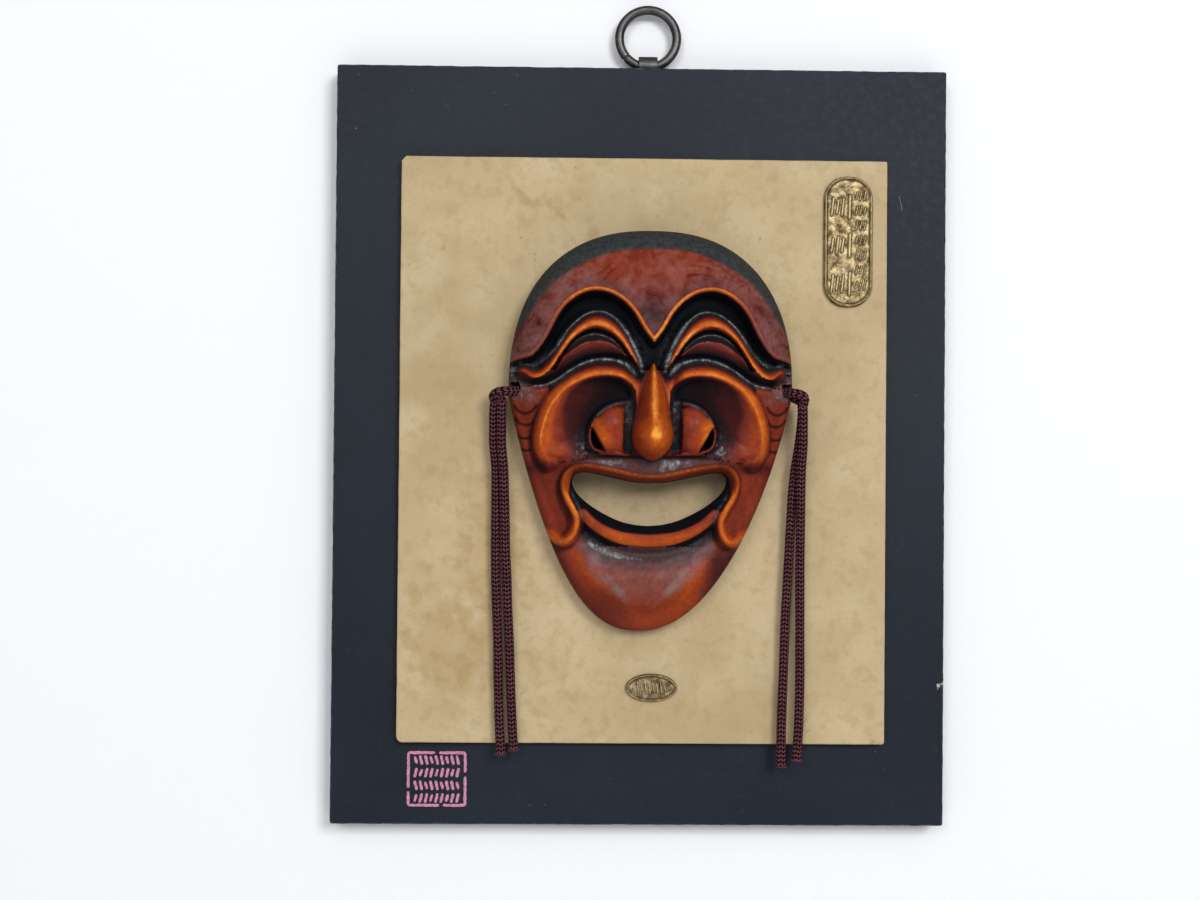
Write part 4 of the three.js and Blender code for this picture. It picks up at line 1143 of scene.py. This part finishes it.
panel = {"corners": [(2.2, True), (1.0, True), (0.8, True), (1.6, False)], "bevel": 0.5, "wear": 0.07,
         "grid": (150, 170),
         # thin runs of water: from x, y to x, y, half width, strength
         "runs": [(-44.5, 89, -42.2, 84.1, 0.6, 0.5), (-42.2, 84.1, -38.5, 80.2, 0.9, 0.75),
                  (-38.5, 80.2, -34.8, 78.6, 1.3, 0.9), (-30.6, 79, -28.5, 77.4, 1.1, 0.65),
                  (-28.5, 77.4, -26, 74.2, 1, 0.85), (-26, 74, -23.6, 73.6, 0.4, 0.5),
                  (-16, 70.8, -16.6, 67.4, 1.6, 0.45), (64, 87.8, 65, 87.2, 0.8, 0.7)],
         # broad soft ones: x, y, half width, half height, strength
         "stains": [(-50, -35, 15, 26, 0.5), (-60, -68, 17, 20, 0.55), (-62, 6, 12, 26, 0.35),
                    (-30, -72, 12, 9, 0.3), (10, -90, 60, 9, 0.22), (-20, -86, 20, 7, 0.3),
                    (40, -85, 22, 6, 0.25), (22, -60, 10, 12, 0.2), (60, 30, 9, 20, 0.15),
                    (-73.4, -49, 2.6, 5.5, 0.8), (-68.3, -7.9, 3, 2.5, 0.6), (-71, -41, 4, 3.4, 0.55),
                    (-76, -63, 2.2, 5, 0.5), (-55.3, -75, 2.4, 1.7, 0.6), (-47, -80, 1.8, 1.3, 0.5),
                    (-63, -86, 6, 1.6, 0.4), (55.5, -22, 2, 1.6, 0.65), (62, -48, 1.7, 2.2, 0.4),
                    (15.4, -63.7, 0.9, 1.2, 0.7), (38, -81, 4, 1.4, 0.35), (-66, 22, 2.5, 4, 0.4)]}


def parchmentMaterial():
    material, tree, shader = newMaterial("parchment", Specular_IOR_Level=0.2)
    broad, middle, patchy = noise(tree, 9, 4, 0.55), noise(tree, 60, 4, 0.6), noise(tree, 240, 3, 0.65)
    fine, speck = noise(tree, 900, 3, 0.6), noise(tree, 330, 2, 0.5)
    colour = blend(tree, remap(tree, broad, 0.3, 0.7), (0.375, 0.285, 0.155), (0.545, 0.418, 0.25))
    colour = layer(tree, colour, (0.575, 0.455, 0.29), middle, 0.42, 0.66, 0.6)
    colour = layer(tree, colour, (0.33, 0.25, 0.115), patchy, 0.48, 0.66, 0.42)
    colour = layer(tree, colour, (0.42, 0.3, 0.17), fine, 0.5, 0.8, 0.35)
    ragged = maths(tree, "MULTIPLY", painted(tree, "stain"), remap(tree, middle, 0.35, 0.6, 0.25, 1))
    colour = blend(tree, ragged, colour, (0.34, 0.225, 0.075))
    colour = layer(tree, colour, (0.27, 0.17, 0.08), speck, 0.73, 0.78, 0.5)
    colour = blend(tree, painted(tree, "edge"), colour, (0.3, 0.2, 0.1))
    height = together(tree, fine, middle, 0.5)
    dress(tree, shader, colour, remap(tree, fine, 0.3, 0.7, 0.72, 0.9), height, 0.3, 0.00025)
    return material


def backingPanel():
    low, high = boxOf("backing_panel")
    width, height, thickness = high - low
    bevel = panel["bevel"]
    # the front is a grid, so that its colours follow the stains
    columns, rows = panel["grid"]
    inFront = -(thickness - 0.01) * mm
    outline = outlineOf(width, height, panel["corners"])
    profile = [(bevel, 0), (bevel * 0.3, bevel * 0.3), (0, bevel), (0, thickness - bevel),
               (bevel * 0.25, thickness - bevel * 0.25), (bevel, thickness)]
    body = wornSlab("parchment_panel", outline, profile, panel["wear"], 31)
    made = bmesh.new()
    made.from_mesh(body.data)
    for axis, size, count in ((0, width, columns), (2, height, rows)):
        for i in range(1, count):
            place, normal = [0, 0, 0], [0, 0, 0]
            place[axis], normal[axis] = (i / count - 0.5) * size * mm, 1
            faces = [face for face in made.faces
                     if face.normal.y < -0.99 and max(v.co.y for v in face.verts) < inFront]
            geometry = list({item for face in faces for item in (*face.verts, *face.edges)}) + faces
            bmesh.ops.bisect_plane(made, geom=geometry, plane_co=place, plane_no=normal, dist=1e-7)
    made.to_mesh(body.data)
    made.free()
    x, y, _ = pointsOf(body).T
    stain = np.zeros(len(x))
    middleX, middleY = (low[0] + high[0]) / 2, (low[1] + high[1]) / 2
    for sx, sy, wide, tall, strength in panel["stains"]:
        u, v = (x + middleX - sx) / wide, (y + middleY - sy) / tall
        far = np.hypot(u, v) + 0.3 * cloudy(x, y, 3, 17) + 0.15 * cloudy(x, y, 1.4, 18)
        stain = np.maximum(stain, strength * smooth(far, 1.15, 0.45))
    for *line, half, strength in panel["runs"]:
        far = np.sqrt(awaySquared(x + middleX, y + middleY, *line)) / half + 0.5 * cloudy(x, y, 0.8, 19)
        stain = np.maximum(stain, strength * smooth(far, 1.6, 0.4))
    setAttribute(body, "stain", stain)
    edge = np.minimum(width / 2 - np.abs(x), height / 2 - np.abs(y))
    setAttribute(body, "edge", 0.45 * smooth(edge, 0.5, 0.05))
    moved(body, (middleX, middleY, low[2]))
    return finishPiece(shade(body, 40), parchment, replaced=["backing_panel"])


parchment = parchmentMaterial()
backingPanel()
print("panel made")


# Brass plates: a beaded border round a ground with raised strokes, none of them a letter

plates = {
    "title_plate": {"corner": 7.4, "border": 1.0, "relief": 0.55, "ground": 1.1, "columns": 66, "seed": 51},
    "name_plate": {"corner": None, "border": 0.8, "relief": 0.45, "ground": 1.0, "columns": 72, "seed": 52},
}


def titleStrokes():
    # (from x, y, to x, y, half width): three large groups in one column, seven rows in the other
    strokes = []
    for row in range(3):
        y = 11.4 - 12.6 * row
        # three short leaning strokes, then one long one
        for step in range(3):
            x, tall = -5.3 + 1.7 * step, 2.7 - 0.6 * ((step + row) % 2)
            strokes.append((x - 0.3, y - tall, x + 0.3, y + tall, 0.36))
        strokes.append((0.3, y - 3.6, 0.5, y + 3.6, 0.42))
    for row in range(7):
        y = 15.2 - 4.9 * row
        for step in range(3):
            x, tall = 2.7 + 1.35 * step, 1.45 - 0.4 * ((step + row) % 3 == 0)
            strokes.append((x - 0.3, y - tall, x + 0.3, y + tall, 0.26))
    return strokes


def nameStrokes():
    strokes = []
    for i in range(8):
        x, tall = -4.4 + 1.27 * i, 1.9 - 0.5 * (i % 3 == 1)
        strokes.append((x - 0.2, tall - 0.5 * (i % 2), x + 0.25, 0.3 - tall, 0.24))
    return strokes


def brassMaterial():
    material, tree, shader = newMaterial("agedBrass", Metallic=0.85)
    patch, fine, speck = noise(tree, 420, 5, 0.7), noise(tree, 1500, 3, 0.6), noise(tree, 260, 4, 0.7)
    high = painted(tree, "high")
    polished = blend(tree, patch, (0.35, 0.26, 0.12), (0.56, 0.45, 0.24))
    ground = blend(tree, remap(tree, patch, 0.4, 0.6), (0.1, 0.064, 0.028), (0.36, 0.275, 0.145))
    colour = blend(tree, remap(tree, high, 0.25, 0.8), ground, polished)
    grime = maths(tree, "MULTIPLY", painted(tree, "low"), remap(tree, fine, 0.3, 0.6, 0.6, 1))
    colour = blend(tree, grime, colour, (0.05, 0.033, 0.015))
    colour = layer(tree, colour, (0.7, 0.62, 0.43), speck, 0.58, 0.7, 0.5)
    height = together(tree, patch, fine, 0.5)
    dress(tree, shader, colour, remap(tree, patch, 0.35, 0.65, 0.6, 0.42), height, 0.6, 0.0003)
    return material


def fromOutline(x, y, width, height, corner):
    # distance inwards from the edge of a rectangle with round corners
    u, v = np.abs(x) - (width / 2 - corner), np.abs(y) - (height / 2 - corner)
    return corner - np.hypot(np.maximum(u, 0), np.maximum(v, 0)) - np.minimum(np.maximum(u, v), 0)


def brassPlate(nodeName, strokes):
    facts = plates[nodeName]
    low, high = boxOf(nodeName)
    width, height, thickness = high - low
    corner, border = facts["corner"], facts["border"]
    # a grid from the middle out to the outline, so that its rows follow the rounded ends or the oval
    grid = squareGrid(facts["columns"], int(facts["columns"] * height / width))
    p, q = onDisk(*grid) if corner is None else grid
    x, y = p * width / 2, q * height / 2
    if corner is None:
        far = np.hypot(x / (width / 2), y / (height / 2))
        steep = np.hypot(x / (width / 2) ** 2, y / (height / 2) ** 2) / np.maximum(far, 1e-3)
        depth = np.maximum((1 - far) / np.maximum(steep, 2 / width), 0)
    else:
        over = np.maximum(np.abs(y) - (height / 2 - corner), 0)
        x = x * (width / 2 - corner + np.sqrt(np.maximum(corner ** 2 - over ** 2, 1e-6))) / (width / 2)
        depth = np.maximum(fromOutline(x, y, width, height, corner), 0)
    bead = np.exp(-((depth - border * 0.62) / (border * 0.3)) ** 2)
    z = facts["ground"] + facts["relief"] * bead - 0.5 * smooth(depth, border * 0.3, 0)
    z = z + 0.05 * cloudy(x, y, 1.3, facts["seed"]) + 0.05 * cloudy(x, y, 3.1, facts["seed"] + 1)
    stroke, halo = np.zeros(x.shape), np.zeros(x.shape)
    for *line, half in strokes:
        away = np.sqrt(awaySquared(x, y, *line))
        stroke = np.maximum(stroke, np.sqrt(np.clip(1 - (away / half / 1.25) ** 2, 0, 1)))
        halo = np.maximum(halo, smooth(away, half * 2.3, half * 1.2))
    z = np.minimum(z + facts["relief"] * 0.8 * stroke, thickness)
    lowPlaces = np.maximum(halo * (1 - smooth(stroke, 0.1, 0.5)), np.exp(-((depth - border * 1.25) / 0.3) ** 2))
    body = closedBody(nodeName + "_cast", x, y, z, 0, 60)
    count = len(body.data.vertices) - x.size
    setAttribute(body, "high", [*np.maximum(stroke, bead).ravel(), *np.full(count, 0.3)])
    setAttribute(body, "low", [*lowPlaces.ravel(), *np.full(count, 0.6)])
    moved(body, ((low[0] + high[0]) / 2, (low[1] + high[1]) / 2, low[2]))
    return finishPiece(body, agedBrass, replaced=[nodeName])


agedBrass = brassMaterial()
brassPlate("title_plate", titleStrokes())
brassPlate("name_plate", nameStrokes())
print("plates cast")


# The painted mark: a broken square frame round rows of plain strokes, printed in thin pink paint on the board

mark = {"centre": (-66.0, -110.1), "width": 19.6, "height": 18.2, "line": 1.0, "thickness": 0.06, "seed": 61}


def markStrokes():
    x, y = mark["width"] / 2 - 0.5, mark["height"] / 2 - 0.5
    strokes = [(-x, y, -0.6, y), (0.8, y, x, y), (x, y, x, 2.2), (x, 0.8, x, -y), (x, -y, 2.1, -y), (0.9, -y, -x, -y),
               (-x, -y, -x, -4.1), (-x, -2.9, -x, y)]
    # inside it, rows of short strokes that lean one way and the other by turns
    for row in range(4):
        lean = 0.35 * (row % 2 * 2 - 1)
        for step in range(9):
            at, tall = -6.9 + 1.72 * step, 1.5 - 0.35 * ((2 * step + row) % 3 == 0)
            strokes.append((at - lean, 6.2 - 4.15 * row - tall, at + lean, 6.2 - 4.15 * row + tall))
    return strokes


def paintedMark():
    draw = np.random.default_rng(mark["seed"])
    pieces = []
    for i, (ax, ay, bx, by) in enumerate(markStrokes()):
        a, b = np.array([ax, ay]), np.array([bx, by])
        length = np.linalg.norm(b - a)
        ahead = (b - a) / length
        aside = np.array([-ahead[1], ahead[0]])
        count = max(int(length / 0.5), 3)
        along = np.linspace(0, length, count)
        half = mark["line"] / 2 * draw.uniform(0.72, 1.1, (2, count))
        half[:, [0, -1]] *= 0.7
        left = a + along[:, None] * ahead + half[0][:, None] * aside
        right = a + along[:, None] * ahead - half[1][:, None] * aside
        pieces.append(prism(f"stroke{i}", np.concatenate([right, left[::-1]]), 0, mark["thickness"]))
    body = pieces[0]
    for piece in pieces[1:]:
        combine(body, piece, "UNION")
    body.name = "painted_mark"
    front = boxOf("backing_board")[1][2]
    moved(body, (*mark["centre"], front - 0.005))
    material, tree, shader = newMaterial("pinkPaint", Roughness=0.6)
    worn = noise(tree, 900, 3, 0.7)
    colour = blend(tree, remap(tree, worn, 0.42, 0.62), (0.62, 0.22, 0.36), (0.36, 0.16, 0.24))
    tree.links.new(colour, shader.inputs["Base Color"])
    return finishPiece(body, material)


paintedMark()
print("mark painted")


# The hanger: a wire ring in the eye of a folded strap, which two screws hold behind the board

hanger = {"radius": 9.6, "wire": 1.5, "drop": 0.25, "joint": 3.86, "gap": 0.012, "count": 150, "sides": 24,
          "strap": {"width": 6.2, "eye": 2.6, "sheet": 0.6, "neck": 4.4, "length": 22},
          "screw": {"head": 2.0, "headHeight": 1.0, "shank": 0.9, "length": 4.2, "slot": 0.45, "sides": 32}}


def gunmetalMaterial():
    material, tree, shader = newMaterial("gunmetal", Metallic=0.8)
    broad, fine = noise(tree, 160, 3, 0.6), noise(tree, 1400, 3, 0.6)
    colour = blend(tree, remap(tree, broad, 0.3, 0.7), (0.045, 0.046, 0.045), (0.11, 0.112, 0.108))
    colour = layer(tree, colour, (0.25, 0.24, 0.225), fine, 0.58, 0.75, 0.6)
    dress(tree, shader, colour, remap(tree, fine, 0.3, 0.7, 0.28, 0.5), fine, 0.3, 0.00006)
    return material


def wireRing():
    x, y, z = board["ringCentre"]
    centre = np.array([x, y - hanger["drop"] + hanger["radius"], z])
    joint, gap, count = hanger["joint"], hanger["gap"], hanger["count"]
    angle = np.linspace(joint + gap, joint + 2 * math.pi - gap, count)
    path = centre + hanger["radius"] * np.stack([np.cos(angle), np.sin(angle), np.zeros(count)], -1)
    radii = np.full((count, hanger["sides"]), hanger["wire"])
    radii[0] = radii[-1] = hanger["wire"] * 0.9
    body = tube("wire_ring", path, radii, sharpAngle=50)
    return finishPiece(body, gunmetal, body="ring", replaced=["hanging_ring"])


def foldedStrap():
    x, y, z = board["ringCentre"]
    strap = hanger["strap"]
    half, middle = strap["sheet"] / 2, strap["eye"] + strap["sheet"] / 2
    neck = math.radians(50)
    angles = np.linspace(-neck, math.pi + neck, 40)
    arc = [(middle * math.cos(a), middle * math.sin(a)) for a in angles]
    # seen from the side: up one leg, round the eye and down the other leg
    leg = [(half + 0.02, 0.1 - strap["length"]), (half + 0.02, -strap["neck"] - 1), (half + 0.05, -strap["neck"])]
    side = np.array([*leg, *arc, *((-out, up) for out, up in reversed(leg))])
    line = np.stack([np.zeros(len(side)), side[:, 1], side[:, 0]], -1)
    ahead = np.gradient(line, axis=0)
    ahead /= np.linalg.norm(ahead, axis=1)[:, None]
    outwards = np.cross(ahead, [1, 0, 0])
    wide, thin, cut = strap["width"] / 2, half, 0.12
    section = [(-wide, thin - cut), (-wide, cut - thin), (cut - wide, -thin), (wide - cut, -thin),
               (wide, cut - thin), (wide, thin - cut), (wide - cut, thin), (cut - wide, thin)]
    rings = np.stack([line + u * np.array([1, 0, 0]) + v * outwards for u, v in section], 1)
    faces = sleeve(len(line), len(section), capped=True)
    body = newMesh("folded_strap", rings.reshape(-1, 3) + np.array([x, y, z]), faces, 40)
    checked = bmesh.new()
    checked.from_mesh(body.data)
    bmesh.ops.recalc_face_normals(checked, faces=checked.faces)
    checked.to_mesh(body.data)
    checked.free()
    for down in board["screwHoles"]:
        drill(body, (x, y - down, z - 2), (x, y - down, z + 2), np.full((3, 20), board["holeRadius"]))
    return finishPiece(shade(body, 40), gunmetal, replaced=["hanger_strap"])


def hangerScrew(nodeName):
    low, high = boxOf(nodeName)
    screw = hanger["screw"]
    x, y = (low[0] + high[0]) / 2, (low[1] + high[1]) / 2
    under = low[2] + screw["headHeight"]
    profile = [(0.25, under + screw["length"]), (screw["shank"] * 0.6, under + screw["length"] - 0.5)]
    for turn in range(5):
        z = under + 3.2 - 0.6 * turn
        profile += [(screw["shank"], z), (screw["shank"] * 0.78, z - 0.3)]
    profile += [(screw["shank"], under), (screw["head"], under)]
    headAngles = np.linspace(0.15, 1.45, 8)
    profile += [(screw["head"] * math.cos(a), under - screw["headHeight"] * math.sin(a)) for a in headAngles]
    angle = np.linspace(0, 2 * math.pi, screw["sides"], endpoint=False)
    rings = [[(x + r * math.cos(a), y + r * math.sin(a), z) for a in angle] for r, z in profile]
    faces = [face[::-1] for face in sleeve(len(profile), screw["sides"], capped=True)]
    body = newMesh(nodeName + "_head", np.array(rings).reshape(-1, 3), faces)
    slot = screw["slot"] / 2
    combine(body, block("slot", (x - 3, y - slot, low[2] - 1), (x + 3, y + slot, low[2] + 0.5)))
    return finishPiece(shade(body, 35), gunmetal, replaced=[nodeName])


gunmetal = gunmetalMaterial()
wireRing()
foldedStrap()
hangerScrew("hanger_screw_upper")
hangerScrew("hanger_screw_lower")
print("hanger made")


# Stage: a pale wall behind the plaque, a pale floor, soft lights

stage = {"wall": (0.85, 0.86, 0.89), "floor": (0.9, 0.9, 0.91), "floorHeight": -0.75, "world": 0.25,
         "lights": [("right", (0.78, -1.95, 0.7), 0.7, 24.5), ("left", (-0.6, -2.0, 0.65), 0.7, 10.5),
                    ("front", (0.1, -2.0, 1.0), 2.0, 9.5)]}


def stageSheet(name, centre, size, upright, colour):
    bpy.ops.mesh.primitive_plane_add(size=size, location=centre, rotation=(math.pi / 2 if upright else 0, 0, 0))
    sheet = bpy.context.object
    sheet.name = name
    material, tree, shader = newMaterial(name, Roughness=0.9, Specular_IOR_Level=0.1)
    grained = layer(tree, colour, tuple(c * 0.97 for c in colour), noise(tree, 40, 2), 0.3, 0.7, 0.1)
    tree.links.new(grained, shader.inputs["Base Color"])
    if upright:
        # seen from behind, the wall is left out
        clear = node(tree, "BsdfTransparent").outputs[0]
        behind = node(tree, "NewGeometry").outputs["Backfacing"]
        mixed = node(tree, "MixShader", {0: behind, 1: shader.outputs[0], 2: clear})
        output = next(item for item in tree.nodes if item.type == "OUTPUT_MATERIAL")
        tree.links.new(mixed.outputs[0], output.inputs[0])
        sheet.visible_shadow = sheet.visible_diffuse = sheet.visible_glossy = False
    sheet.data.materials.append(material)


def studio():
    stageSheet("wall", (0, 0.0006, 0), 8, True, stage["wall"])
    stageSheet("floor", (0, 0, stage["floorHeight"]), 8, False, stage["floor"])
    for name, place, size, power in stage["lights"]:
        data = bpy.data.lights.new(name, "AREA")
        data.shape, data.size, data.energy = "SQUARE", size, power
        light = bpy.data.objects.new(name, data)
        light.location = place
        light.rotation_euler = (-Vector(place)).to_track_quat("-Z", "Y").to_euler()
        scene.collection.objects.link(light)
    world = bpy.data.worlds.new("studio")
    world.use_nodes = True
    world.node_tree.nodes["Background"].inputs[0].default_value = (0.97, 0.98, 1.0, 1)
    world.node_tree.nodes["Background"].inputs[1].default_value = stage["world"]
    scene.world = world


studio()
print("stage set")
